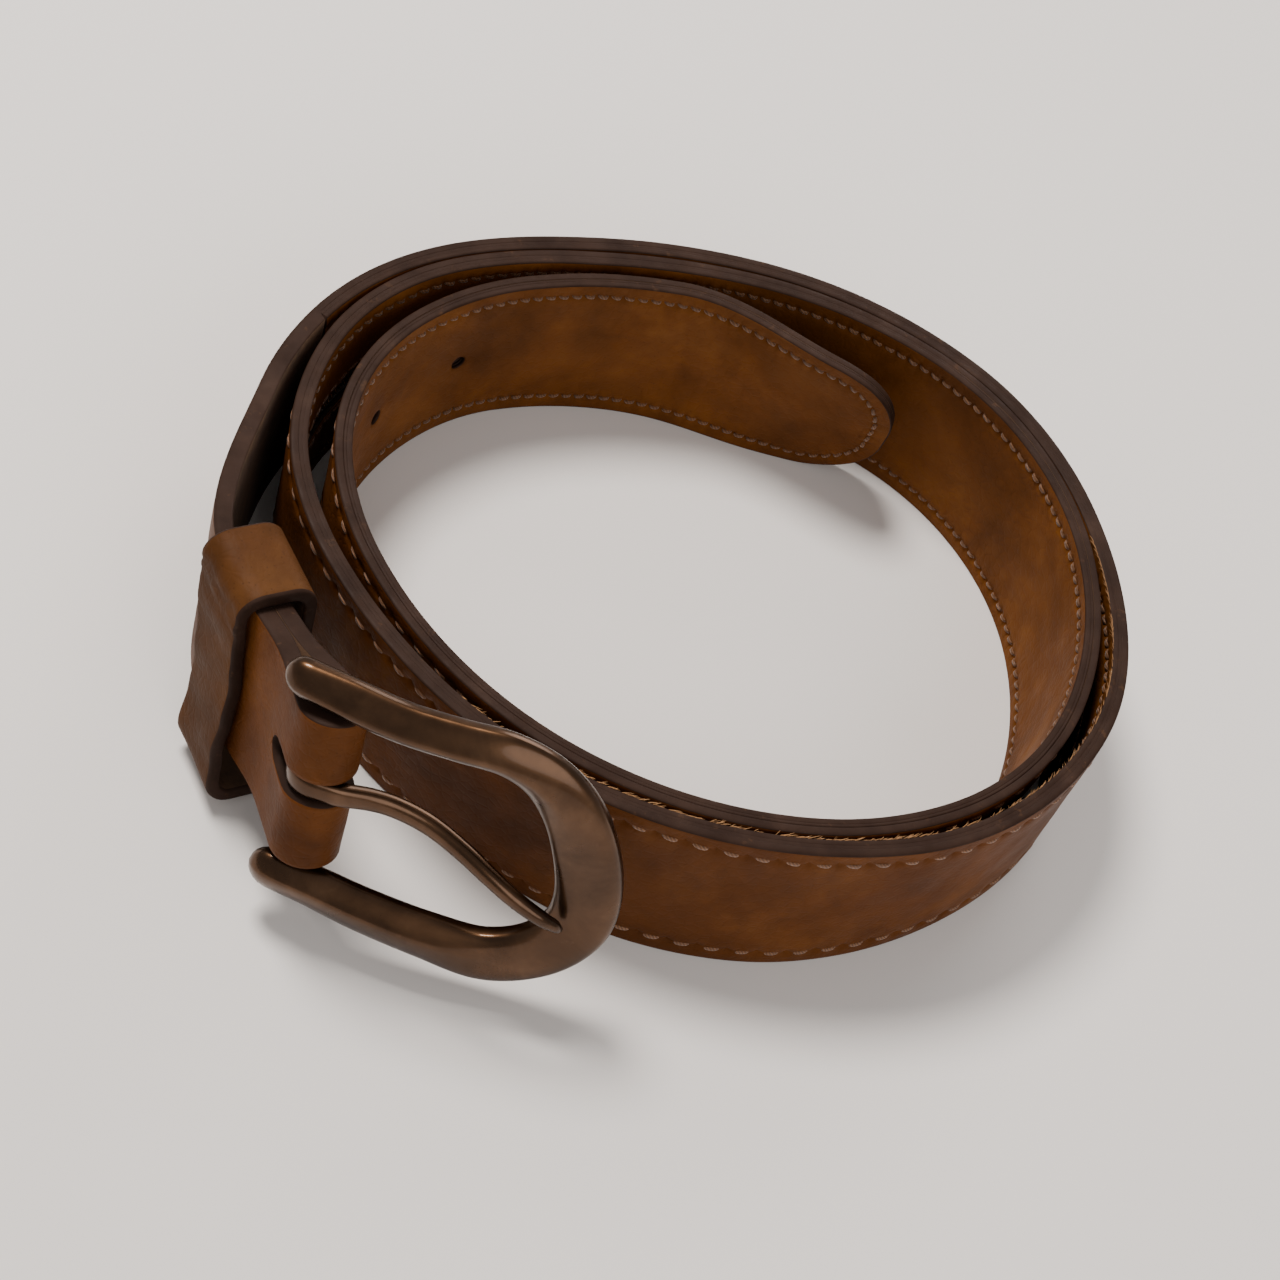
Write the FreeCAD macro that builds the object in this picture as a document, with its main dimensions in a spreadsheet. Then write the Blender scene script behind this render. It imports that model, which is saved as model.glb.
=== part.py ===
import FreeCAD, Part
import math
import os
from FreeCAD import Placement, Rotation, Vector

# Money belt, coiled on edge with its buckle end outermost. Millimetres, +Z up.
# The strap stands on its lower edge at z = 0. Its middle line, seen from above, is a chain
# of tangent arcs that starts at the rounded tip and turns left (counter-clockwise).
# Every leather layer is a band along that line: "across" is measured outward from the line,
# so the face side is positive and the lining side is negative.

doc = FreeCAD.newDocument("money_belt")
sheet = doc.addObject("Spreadsheet::Sheet", "Dimensions")

DIMENSIONS = [
    # strap
    ("StrapWidth", 30.0), ("StrapThickness", 2.6), ("LeatherThickness", 1.2),
    ("CoreThickness", 0.5), ("TipRadius", 13.0), ("TipX", 18.33), ("TipY", 56.99),
    ("TipHeading", 184.15), ("LiningEnd", 791.0),
    # belt holes
    ("FirstHole", 74.5), ("HolePitch", 19.0), ("HoleCount", 5), ("HoleDiameter", 2.6),
    # edge seams
    ("SeamInset", 2.4), ("SeamWidth", 0.8), ("SeamDepth", 0.35), ("SeamProud", 0.1),
    # hidden pocket and its zip
    ("PocketStart", 324.5), ("PocketEnd", 643.0), ("PocketEdge", 5.0),
    ("ZipStart", 333.5), ("ZipEnd", 631.0), ("ZipSlot", 5.0),
    ("TapeWidth", 7.0), ("TapeThickness", 0.4), ("CoilWidth", 0.9), ("CoilThickness", 0.7),
    ("SliderPlace", 343.5), ("SliderLength", 8.0), ("SliderWidth", 6.6),
    ("SliderPlate", 0.5), ("LugReach", 1.9), ("PinReach", 1.3), ("PinOffset", 1.0),
    ("PullLength", 9.0), ("PullThickness", 0.6), ("PullPin", 0.7),
    # buckle end of the strap
    ("NeckWidth", 27.0), ("EndLength", 26.0), ("SlotWidth", 5.4), ("SlotReach", 7.0),
    ("FoldShift", 1.0), ("SlotShift", 0.6),
    ("BarClearance", 0.3), ("TurnbackSeam", 20.5), ("TurnbackPitch", 2.2),
    # buckle
    ("BarX", -32.3), ("BarY", -55.95), ("BarZ", 26.48), ("BuckleHeading", 11.0),
    ("BuckleRise", 4.0), ("BuckleLean", 14.5), ("StrapEndHeading", -40.0),
    ("BarRadius", 2.0), ("ArmSpacing", 35.4), ("ArmWidth", 6.0), ("FrameThickness", 5.0),
    ("HeelOverhang", 4.0), ("FrontReach", 43.0), ("FrontWidth", 9.0), ("FrameBow", 3.0),
    ("FrameRounding", 1.8),
    # prong
    ("ProngWidth", 3.4), ("ProngThickness", 2.6), ("ProngLoop", 4.4), ("ProngClearance", 0.08),
    ("ProngReach", 37.0), ("ProngSkew", 10.0),
    # keeper
    ("KeeperMouth", -18.0), ("KeeperLength", 11.8), ("KeeperWall", 2.0), ("KeeperFront", 3.3),
    ("KeeperBack", 4.6), ("KeeperTop", 13.8), ("KeeperBottom", -20.8), ("StapleWire", 0.7),
    ("StapleCrown", 7.0),
]

# Bends of the strap from tip to buckle end: radius and turn in degrees.
BENDS = [
    (202.4, 6.23), (82.9, 28.87), (38.0, 99.65), (63.5, 39.0), (70.0, 28.0), (55.5, 22.5),
    (43.0, 40.5), (52.5, 28.0), (45.5, 54.5), (66.5, 26.0), (100.0, 17.0), (53.5, 24.0),
    (42.0, 80.0), (63.0, 38.5), (78.0, 38.0), (49.5, 131.5), (79.0, 53.5), (57.5, 55.5),
]

for row, (alias, value) in enumerate(DIMENSIONS, start=1):
    sheet.set("A%d" % row, alias)
    sheet.set("B%d" % row, str(value))
    sheet.setAlias("B%d" % row, alias)
for number, (radius, turn) in enumerate(BENDS):
    row = len(DIMENSIONS) + 2 + number
    sheet.set("A%d" % row, "bend %d: radius, turn" % number)
    sheet.set("B%d" % row, str(radius))
    sheet.setAlias("B%d" % row, "BendRadius_%d" % number)
    sheet.set("C%d" % row, str(turn))
    sheet.setAlias("C%d" % row, "BendTurn_%d" % number)
doc.recompute()


def dim(alias):
    return float(sheet.get(alias))


# ---------------------------------------------------------------- the strap's middle line

class Bend:
    """One arc of the middle line, turning left about its centre."""

    def __init__(self, start, x, y, heading, radius, turn):
        self.start, self.radius, self.turn = start, radius, turn
        self.end = start + radius * turn
        self.angle = heading - math.pi / 2          # direction from the centre to the start
        self.centre = Vector(x - radius * math.cos(self.angle),
                             y - radius * math.sin(self.angle), 0)

    def angle_at(self, along):
        return self.angle + (along - self.start) / self.radius

    def point(self, along, across=0.0, height=0.0):
        angle = self.angle_at(along)
        reach = self.radius + across
        return self.centre + Vector(reach * math.cos(angle), reach * math.sin(angle), height)


def chain_of_bends():
    bends, along = [], 0.0
    x, y, heading = dim("TipX"), dim("TipY"), math.radians(dim("TipHeading"))
    for number in range(len(BENDS)):
        radius = dim("BendRadius_%d" % number)
        turn = math.radians(dim("BendTurn_%d" % number))
        bends.append(Bend(along, x, y, heading, radius, turn))
        along = bends[-1].end
        joint = bends[-1].point(along)
        x, y, heading = joint.x, joint.y, heading + turn
    return bends, heading


bends, end_heading = chain_of_bends()
coil_length = bends[-1].end


def bend_at(along):
    return next(bend for bend in bends if along <= bend.end + 1e-9)


def point(along, across=0.0, height=0.0):
    return bend_at(along).point(along, across, height)


def outward(along):
    angle = bend_at(along).angle_at(along)
    return Vector(math.cos(angle), math.sin(angle), 0)


def offset_arcs(start, end, across):
    """The stretch of the middle line from start to end, moved outward by across."""
    arcs = []
    for bend in bends:
        low, high = max(start, bend.start), min(end, bend.end)
        if high - low > 1e-6:
            middle = (low + high) / 2
            arcs.append(Part.Arc(bend.point(low, across), bend.point(middle, across),
                                 bend.point(high, across)))
    return arcs


def band_outline(start, end, inner, outer):
    caps = [Part.LineSegment(point(end, outer), point(end, inner)),
            Part.LineSegment(point(start, inner), point(start, outer))]
    return offset_arcs(start, end, outer) + [caps[0]] + offset_arcs(start, end, inner) + [caps[1]]


# ---------------------------------------------------------------- building blocks

pieces = []                     # the finished sub-parts, one per node


def piece(obj, label):
    obj.Label = label
    pieces.append(obj)
    return obj


def origin_plane(body, role):
    return next(item for item in body.Origin.OriginFeatures if item.Role == role)


def new_body(name, placement=Placement()):
    body = doc.addObject("PartDesign::Body", name)
    body.Placement = placement
    return body


def sketch_on(body, name, geometry, role="XY_Plane", lift=0.0, turn=Rotation()):
    sketch = body.newObject("Sketcher::SketchObject", name)
    sketch.AttachmentSupport = (origin_plane(body, role), [""])
    sketch.MapMode = "FlatFace"
    sketch.AttachmentOffset = Placement(Vector(0, 0, lift), turn)
    sketch.addGeometry(geometry, False)
    return sketch


def pad(body, sketch, length, both_ways=False):
    feature = body.newObject("PartDesign::Pad", sketch.Name + "_pad")
    feature.Profile = sketch
    if isinstance(length, str):
        feature.setExpression("Length", length)
    else:
        feature.Length = length
    if both_ways:
        feature.Midplane = True
    sketch.Visibility = False
    return feature


def pocket(body, sketch, length):
    feature = body.newObject("PartDesign::Pocket", sketch.Name + "_pocket")
    feature.Profile = sketch
    if isinstance(length, str):
        feature.setExpression("Length", length)
    else:
        feature.Length = length
    return feature


def band(name, start, end, inner, outer, bottom, height):
    """A body that follows the strap: a plan outline padded upward."""
    body = new_body(name)
    sketch = sketch_on(body, name + "_plan", band_outline(start, end, inner, outer), lift=bottom)
    pad(body, sketch, height)
    return body


def groove(body, name, start, end, inner, outer, top, height):
    """A channel cut downward from the level top along the strap."""
    sketch = sketch_on(body, name, band_outline(start, end, inner, outer), lift=top)
    return pocket(body, sketch, height)


def cut(base, tool, label):
    obj = doc.addObject("Part::Cut", label)
    obj.Base, obj.Tool = base, tool
    return obj


def fuse(shapes, label):
    obj = doc.addObject("Part::MultiFuse", label)
    obj.Shapes = shapes
    obj.Refine = False
    return obj


def plain(shape, name, placement=None):
    obj = doc.addObject("Part::Feature", name)
    obj.Shape = shape
    if placement is not None:
        obj.Placement = placement
    return obj


def polygon(points):
    return [Part.LineSegment(a, b) for a, b in zip(points, points[1:] + points[:1])]


def rectangle(x0, y0, x1, y1):
    return polygon([Vector(x0, y0, 0), Vector(x1, y0, 0), Vector(x1, y1, 0), Vector(x0, y1, 0)])


# ---------------------------------------------------------------- levels through the strap

width = dim("StrapWidth")
face = dim("StrapThickness") / 2                    # outer face of the strap
leather_back = face - dim("LeatherThickness")       # inner side of the outer leather
core_back = leather_back - dim("CoreThickness")     # inner side of the filler
lining_face = -face
lining_end = dim("LiningEnd")
seam_low = dim("SeamInset")
seam_high = width - dim("SeamInset") - dim("SeamWidth")
middle_height = width / 2

# ---------------------------------------------------------------- tools that cut the strap


def tip_corners():
    """Two corner pieces that leave the strap's tip rounded."""
    radius, depth = dim("TipRadius"), 8.0
    corners = []
    for name, level, up in (("low", 0.0, 1), ("high", width, -1)):
        base, margin = -depth / 2, 2.0
        outside = Vector(-margin, -margin * up, base)
        below = Vector(radius, -margin * up, base)
        arc_start, arc_end = Vector(radius, 0, base), Vector(0, radius * up, base)
        beside = Vector(-margin, radius * up, base)
        bulge = radius * (1 - math.sqrt(0.5))
        edges = [Part.makeLine(outside, below), Part.makeLine(below, arc_start),
                 Part.Arc(arc_start, Vector(bulge, bulge * up, base), arc_end).toShape(),
                 Part.makeLine(arc_end, beside), Part.makeLine(beside, outside)]
        solid = Part.Face(Part.Wire(edges)).extrude(Vector(0, 0, depth))
        x_axis = outward(0.0).cross(Vector(0, 0, -1))
        frame = Rotation(x_axis, Vector(0, 0, 1), x_axis.cross(Vector(0, 0, 1)), "XYZ")
        corners.append(plain(solid, "tip_corner_" + name, Placement(point(0, 0, level), frame)))
    return corners


def hole_cutters():
    cutters = []
    for number in range(int(dim("HoleCount"))):
        along = dim("FirstHole") + number * dim("HolePitch")
        cutter = doc.addObject("Part::Cylinder", "hole_cutter_%d" % number)
        cutter.setExpression("Radius", "Dimensions.HoleDiameter / 2")
        cutter.Height = 8
        axis = outward(along)
        cutter.Placement = Placement(point(along, -4, middle_height),
                                     Rotation(Vector(0, 0, 1), axis))
        cutters.append(cutter)
    return cutters


strap_cutter = fuse(tip_corners() + hole_cutters(), "strap_cutter")

# ---------------------------------------------------------------- frames at the buckle end

bar_centre = Vector(dim("BarX"), dim("BarY"), dim("BarZ"))


def buckle_axes():
    heading, rise = math.radians(dim("BuckleHeading")), math.radians(dim("BuckleRise"))
    lean = math.radians(dim("BuckleLean"))
    forward = Vector(math.cos(rise) * math.cos(heading), math.cos(rise) * math.sin(heading),
                     math.sin(rise))
    upright = Vector(0, 0, 1) - forward * forward.z
    upright.normalize()
    bar = upright * math.cos(lean) + upright.cross(forward) * math.sin(lean)
    return forward, bar


buckle_forward, bar_axis = buckle_axes()
buckle_place = Placement(bar_centre, Rotation(buckle_forward, bar_axis,
                                              buckle_forward.cross(bar_axis), "XYZ"))


def strap_end_axes():
    heading = math.radians(dim("StrapEndHeading"))
    level = Vector(math.cos(heading), math.sin(heading), 0)
    ahead = level - Vector(0, 0, level.dot(bar_axis) / bar_axis.z)
    ahead.normalize()
    return ahead


strap_ahead = strap_end_axes()
strap_inward = bar_axis.cross(strap_ahead)
end_place = Placement(bar_centre + bar_axis * dim("FoldShift"),
                      Rotation(strap_ahead, strap_inward, bar_axis, "XYZ"))

# ---------------------------------------------------------------- strap: outer leather


def hairpin():
    """The strap end round the bar, seen along the bar: x ahead, y towards the coil."""
    thick, touch = dim("StrapThickness"), 0.05
    inner = dim("BarRadius") + dim("BarClearance")
    outer = inner + thick
    back, bend_x = -dim("EndLength"), -11.0
    tangent = []
    for radius, level in ((outer, touch + thick), (inner, touch)):
        corner = Vector(bend_x, level, 0)
        reach = corner.Length
        angle = math.atan2(corner.y, corner.x) - math.acos(radius / reach)
        tangent.append((corner, Vector(radius * math.cos(angle), radius * math.sin(angle), 0)))
    (far_corner, far_point), (near_corner, near_point) = tangent

    def flipped(vector):
        return Vector(vector.x, -vector.y, 0)
    return [
        Part.LineSegment(Vector(back, touch + thick, 0), far_corner),
        Part.LineSegment(far_corner, far_point),
        Part.Arc(far_point, Vector(outer, 0, 0), flipped(far_point)),
        Part.LineSegment(flipped(far_point), flipped(far_corner)),
        Part.LineSegment(flipped(far_corner), Vector(back, -touch - thick, 0)),
        Part.LineSegment(Vector(back, -touch - thick, 0), Vector(back, -touch, 0)),
        Part.LineSegment(Vector(back, -touch, 0), flipped(near_corner)),
        Part.LineSegment(flipped(near_corner), flipped(near_point)),
        Part.Arc(flipped(near_point), Vector(inner, 0, 0), near_point),
        Part.LineSegment(near_point, near_corner),
        Part.LineSegment(near_corner, Vector(back, touch, 0)),
        Part.LineSegment(Vector(back, touch, 0), Vector(back, touch + thick, 0)),
    ]


def strap_fold():
    body = new_body("strap_fold", end_place)
    profile = sketch_on(body, "fold_profile", hairpin())
    pad(body, profile, "Dimensions.NeckWidth", both_ways=True)
    reach, half = dim("SlotReach"), dim("SlotWidth") / 2
    slot = sketch_on(body, "prong_slot", rectangle(-reach, -8, 8, 8),
                     lift=dim("SlotShift") - half)
    feature = pocket(body, slot, "Dimensions.SlotWidth")
    feature.Reversed = True
    return body


def bezier(points, t):
    a, b, c, d = points
    u = 1 - t
    return a * (u ** 3) + b * (3 * u * u * t) + c * (3 * u * t * t) + d * (t ** 3)


def bezier_slope(points, t):
    a, b, c, d = points
    u = 1 - t
    return (b - a) * (3 * u * u) + (c - b) * (6 * u * t) + (d - c) * (3 * t * t)


def neck_route():
    """Control points of the neck, from the coil's end to the straight strap end."""
    start = point(coil_length, 0, middle_height)
    leave = Vector(math.cos(end_heading), math.sin(end_heading), 0)
    finish = end_place.multVec(Vector(-dim("EndLength"), -0.05 - face, 0))
    pull, lift = 13.0, Vector(0, 0, 0.4)
    return start, start + leave * pull + lift, finish - strap_ahead * pull, finish


def strap_neck():
    """The twisting stretch where the strap turns the corner and leans with the bar."""
    route, sections = neck_route(), []
    for step in range(9):
        t = step / 8
        along = bezier_slope(route, t)
        if step == 0:
            along.z = 0                             # flush with the upright end of the coil
        along.normalize()
        blend = t * t * (3 - 2 * t)
        lean = Vector(0, 0, 1) * (1 - blend) + bar_axis * blend
        side = along.cross(lean)
        side.normalize()
        up = side.cross(along)
        half = (width * (1 - blend) + dim("NeckWidth") * blend) / 2
        centre = bezier(route, t)
        corners = [centre + side * (face * a) + up * (half * b)
                   for a, b in ((1, 1), (1, -1), (-1, -1), (-1, 1))]
        sections.append(Part.makePolygon(corners + corners[:1]))
    return plain(Part.makeLoft(sections, True, False), "strap_neck")


def outer_leather():
    body = new_body("coil_leather")
    plan = sketch_on(body, "coil_leather_plan",
                     band_outline(0, lining_end, leather_back, face))
    pad(body, plan, "Dimensions.StrapWidth")
    end_plan = sketch_on(body, "coil_end_plan",
                         band_outline(lining_end, coil_length, -face, face))
    pad(body, end_plan, "Dimensions.StrapWidth")
    for name, level in (("low", seam_low), ("high", seam_high)):
        groove(body, "outer_groove_" + name, 0, coil_length, face - dim("SeamDepth"), face + 1,
               level + dim("SeamWidth"), dim("SeamWidth"))
    coil = cut(body, strap_cutter, "coil_leather_cut")
    return piece(fuse([coil, strap_neck(), strap_fold()], "outer_leather"), "outer_leather")


outer_leather()

# ---------------------------------------------------------------- strap: lining and filler


def strap_lining():
    body = band("lining_band", 0, lining_end, lining_face, core_back, 0, width)
    for name, level in (("low", seam_low), ("high", seam_high)):
        groove(body, "lining_groove_" + name, 0, lining_end, lining_face - 1,
               lining_face + dim("SeamDepth"), level + dim("SeamWidth"), dim("SeamWidth"))
    half = dim("ZipSlot") / 2
    groove(body, "zip_slot", dim("ZipStart"), dim("ZipEnd"), lining_face - 1, core_back + 0.1,
           middle_height + half, dim("ZipSlot"))
    piece(cut(body, strap_cutter, "strap_lining"), "strap_lining")


def filler():
    """Thin filler between the leathers. Along the pocket only its two edges are left."""
    start, end, edge = dim("PocketStart"), dim("PocketEnd"), dim("PocketEdge")
    tip_band = band("filler_tip_band", 0, start, core_back, leather_back, 0, width)
    piece(cut(tip_band, strap_cutter, "filler_tip"), "filler_tip")
    piece(band("filler_upper_edge", start, end, core_back, leather_back, width - edge, edge),
          "filler_upper_edge")
    piece(band("filler_lower_edge", start, end, core_back, leather_back, 0, edge),
          "filler_lower_edge")
    piece(band("filler_buckle_end", end, lining_end, core_back, leather_back, 0, width),
          "filler_buckle_end")


strap_lining()
filler()

# ---------------------------------------------------------------- edge seams


def edge_seams():
    depth, proud, wide = dim("SeamDepth"), dim("SeamProud"), dim("SeamWidth")
    begin = dim("TipRadius") + 1
    for name, level in (("lower", seam_low), ("upper", seam_high)):
        piece(band("seam_face_" + name, begin, coil_length - 1, face - depth, face + proud,
                   level, wide), "seam_face_" + name)
        piece(band("seam_lining_" + name, begin, lining_end - 1, lining_face - proud,
                   lining_face + depth, level, wide), "seam_lining_" + name)


edge_seams()

# ---------------------------------------------------------------- zip of the hidden pocket

zip_start, zip_end = dim("ZipStart"), dim("ZipEnd")
coil_face = core_back - dim("CoilThickness")        # side of the zip coils towards the slot
slider_top = lining_face - dim("SeamProud") - 0.15  # side of the slider towards the lining
pin_place = dim("SliderPlace") + dim("PinOffset")
pin_level = slider_top - dim("PinReach")


def zip_halves():
    """Tape behind the lining and a coil at its edge, one pair above and one below."""
    tape, deep, coil = dim("TapeWidth"), dim("TapeThickness"), dim("CoilWidth")
    for name, side in (("upper", 1), ("lower", -1)):
        edge = middle_height + side * (coil + 0.02)
        tape_bottom = edge if side > 0 else edge - tape
        coil_bottom = middle_height + 0.02 if side > 0 else middle_height - 0.02 - coil
        piece(band("zip_tape_" + name, zip_start - 4, zip_end + 4, core_back,
                   core_back + deep, tape_bottom, tape), "zip_tape_" + name)
        piece(band("zip_coil_" + name, zip_start + 2, zip_end - 2, coil_face,
                   core_back + deep, coil_bottom, coil), "zip_coil_" + name)
        thread_bottom = middle_height + side * (dim("ZipSlot") / 2 + 1.2) - 0.3
        piece(band("zip_thread_" + name, zip_start, zip_end, lining_face - dim("SeamProud"),
                   lining_face, thread_bottom, 0.6), "zip_thread_" + name)


def zip_stops():
    half = dim("CoilWidth") + 0.3
    for name, place in (("zip_top_stop", zip_start + 0.9), ("zip_bottom_stop", zip_end - 1.9)):
        piece(band(name, place, place + 1.0, coil_face - 0.2, core_back, middle_height - half,
                   2 * half), name)


def zip_slider():
    """Saddle over the coils with two lugs and a pin for the pull."""
    place, length, wide = dim("SliderPlace"), dim("SliderLength"), dim("SliderWidth")
    start, end = place - length / 2, place + length / 2
    under = slider_top - dim("SliderPlate")
    plate = band("slider_plate", start, end, under, slider_top, middle_height - wide / 2, wide)
    flanks = []
    for name, level in (("low", middle_height - 2.3), ("high", middle_height + 1.1)):
        flanks.append(band("slider_flank_" + name, start, end, slider_top - 0.01,
                           core_back - 0.05, level, 1.2))
    lugs = []
    for name, level in (("low", middle_height - 2.4), ("high", middle_height + 1.7)):
        lugs.append(band("slider_lug_" + name, pin_place - 0.9, pin_place + 0.9,
                         slider_top - dim("LugReach"), under + 0.01, level, 0.7))
    pin = doc.addObject("Part::Cylinder", "slider_pin")
    pin.setExpression("Radius", "Dimensions.PullPin / 2")
    pin.Height = 4.8
    pin.Placement = Placement(point(pin_place, pin_level, middle_height - 2.4), Rotation())
    piece(fuse([plate] + flanks + lugs + [pin], "zip_slider"), "zip_slider")


def zip_pull():
    """Flat tab with an eye that turns on the slider's pin."""
    pin_radius, thick = dim("PullPin") / 2, dim("PullThickness")
    bottom, tall = middle_height - 1.6, 3.2
    up, inward = Vector(0, 0, 1), outward(pin_place) * -1
    turn = Rotation(inward.cross(up), inward, up, "XYZ")
    body = new_body("zip_pull", Placement(point(pin_place, pin_level, bottom), turn))
    outline = rectangle(0, -thick / 2, dim("PullLength"), thick / 2)
    pad(body, sketch_on(body, "pull_tab", outline), tall)
    eye = Part.Circle(Vector(0, 0, 0), Vector(0, 0, 1), pin_radius + 0.35)
    pad(body, sketch_on(body, "pull_eye", [eye]), tall)
    bore = Part.Circle(Vector(0, 0, 0), Vector(0, 0, 1), pin_radius + 0.06)
    feature = pocket(body, sketch_on(body, "pull_bore", [bore]), tall)
    feature.Reversed = True
    piece(body, "zip_pull")


zip_halves()
zip_stops()
zip_slider()
zip_pull()

# ---------------------------------------------------------------- seam of the turned-back end


def turnback_seam():
    """Two stitched lines across the strap, through both thicknesses of the fold."""
    outside = dim("StrapThickness") + 0.05
    lines = []
    for number in range(2):
        x = -dim("TurnbackSeam") - dim("TurnbackPitch") * number
        for name, level in (("face", -outside - dim("SeamProud")), ("back", outside)):
            line = doc.addObject("Part::Box", "turnback_line_%s_%d" % (name, number))
            line.Length, line.Width, line.Height = 0.6, dim("SeamProud"), 22.0
            line.Placement = end_place.multiply(Placement(Vector(x, level, -11), Rotation()))
            lines.append(line)
    compound = doc.addObject("Part::Compound", "turnback_seam")
    compound.Links = lines
    piece(compound, "turnback_seam")


turnback_seam()

# ---------------------------------------------------------------- keeper


def keeper():
    """Loose loop round the doubled end: its rims follow the bar, its walls run level."""
    wall, length, mouth = dim("KeeperWall"), dim("KeeperLength"), dim("KeeperMouth")
    front, back = -dim("KeeperFront"), dim("KeeperBack")
    bottom, top = dim("KeeperBottom"), dim("KeeperTop")
    heading = math.radians(dim("StrapEndHeading"))
    level = Vector(math.cos(heading), math.sin(heading), 0)
    loops = []
    for name, spare in (("outside", wall), ("hollow", 0.0)):
        loop = doc.addObject("Part::Extrusion", "keeper_" + name)
        sketch = doc.addObject("Sketcher::SketchObject", "keeper_%s_outline" % name)
        sketch.addGeometry(rectangle(front - spare, bottom - spare, back + spare, top + spare),
                           False)
        past = 0.0 if spare else 1.0                # the hollow runs out of both mouths
        across = Placement(Vector(mouth, 0, 0), Rotation(Vector(0, 1, 0), Vector(0, 0, 1),
                                                         Vector(1, 0, 0), "XYZ"))
        sketch.Placement = end_place.multiply(across)
        loop.Base, loop.DirMode, loop.Dir, loop.Solid = sketch, "Custom", level * -1, True
        loop.LengthFwd, loop.LengthRev = length + past, past
        loops.append(loop)
    wire, crown = dim("StapleWire"), dim("StapleCrown")
    inner_side = end_place.multiply(Placement(Vector(mouth, back, 0), Rotation()))
    start = inner_side.Base - level * (length / 2)
    lift = Vector(0, 0, 1)
    side = lift.cross(level)                        # towards the coil
    place = Placement(start, Rotation(level, side, lift, "XYZ"))
    parts = []
    for name, size, corner in (
            ("crown", (crown, wire, wire), (-crown / 2, -0.4, -wire / 2)),
            ("leg_back", (wire, wall + 0.4, wire), (-crown / 2, -0.4, -wire / 2)),
            ("leg_front", (wire, wall + 0.4, wire), (crown / 2 - wire, -0.4, -wire / 2))):
        box = doc.addObject("Part::Box", "staple_" + name)
        box.Length, box.Width, box.Height = size
        box.Placement = place.multiply(Placement(Vector(*corner), Rotation()))
        parts.append(box)
    staple = piece(fuse(parts, "keeper_staple"), "keeper_staple")
    piece(cut(cut(loops[0], loops[1], "keeper_band"), staple, "keeper"), "keeper")


keeper()

# ---------------------------------------------------------------- buckle


def frame_outline():
    """Horseshoe: x from the bar to the front, y along the bar."""
    arm, wide = dim("ArmSpacing") / 2, dim("ArmWidth")
    outer, inner = arm + wide / 2, arm - wide / 2
    heel, front = -dim("HeelOverhang"), dim("FrontReach")
    outer_centre = front - outer
    inner_centre = front - dim("FrontWidth") - inner
    cap = heel - wide / 2
    return [
        Part.LineSegment(Vector(heel, outer, 0), Vector(outer_centre, outer, 0)),
        Part.Arc(Vector(outer_centre, outer, 0), Vector(front, 0, 0),
                 Vector(outer_centre, -outer, 0)),
        Part.LineSegment(Vector(outer_centre, -outer, 0), Vector(heel, -outer, 0)),
        Part.Arc(Vector(heel, -outer, 0), Vector(cap, -arm, 0), Vector(heel, -inner, 0)),
        Part.LineSegment(Vector(heel, -inner, 0), Vector(inner_centre, -inner, 0)),
        Part.Arc(Vector(inner_centre, -inner, 0), Vector(front - dim("FrontWidth"), 0, 0),
                 Vector(inner_centre, inner, 0)),
        Part.LineSegment(Vector(inner_centre, inner, 0), Vector(heel, inner, 0)),
        Part.Arc(Vector(heel, inner, 0), Vector(cap, arm, 0), Vector(heel, outer, 0)),
    ]


bow_left, bow_right = -9.0, dim("FrontReach") + 2.0      # ends of the frame's shallow arc


def bow_level(x):
    """Height of the frame's middle surface over the bar's axis, near enough for a flat arc."""
    middle, half_span = (bow_left + bow_right) / 2, (bow_right - bow_left) / 2
    return dim("FrameBow") * (1 - ((x - middle) / half_span) ** 2)


def bow_slab():
    """Side view of the frame: a slab of even thickness along a shallow arc."""
    half, bow = dim("FrameThickness") / 2, dim("FrameBow")
    left, right = bow_left, bow_right
    middle = (left + right) / 2

    def arc(level):
        return Part.Arc(Vector(left, level - bow, 0), Vector(middle, level, 0),
                        Vector(right, level - bow, 0))
    high, low = arc(bow + half), arc(bow - half)
    return [high, Part.LineSegment(high.EndPoint, low.EndPoint), low,
            Part.LineSegment(low.StartPoint, high.StartPoint)]


def buckle_frame():
    tall = new_body("frame_plan", buckle_place)
    pad(tall, sketch_on(tall, "frame_plan_outline", frame_outline()), 30.0, both_ways=True)
    slab = new_body("frame_side", buckle_place)
    pad(slab, sketch_on(slab, "frame_side_outline", bow_slab(), role="XZ_Plane"), 60.0,
        both_ways=True)
    horseshoe = doc.addObject("Part::Common", "frame_blank")
    horseshoe.Base, horseshoe.Tool = tall, slab
    doc.recompute()
    rounded = doc.addObject("Part::Fillet", "frame_rounded")
    rounded.Base = horseshoe
    radius = dim("FrameRounding")
    levels = []
    inverse = buckle_place.inverse()
    for number, edge in enumerate(horseshoe.Shape.Edges, start=1):
        ends = [inverse.multVec(vertex.Point) for vertex in edge.Vertexes]
        across = abs(ends[0].z - ends[-1].z)
        flat = math.hypot(ends[0].x - ends[-1].x, ends[0].y - ends[-1].y)
        if flat > across:
            levels.append((number, radius, radius))
    rounded.Edges = levels
    bar = doc.addObject("Part::Cylinder", "frame_bar")
    bar.setExpression("Radius", "Dimensions.BarRadius")
    bar.setExpression("Height", "Dimensions.ArmSpacing")
    bar.Placement = buckle_place.multiply(
        Placement(Vector(0, -dim("ArmSpacing") / 2, 0), Rotation(Vector(1, 0, 0), -90)))
    piece(fuse([rounded, bar], "buckle_frame"), "buckle_frame")


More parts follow.
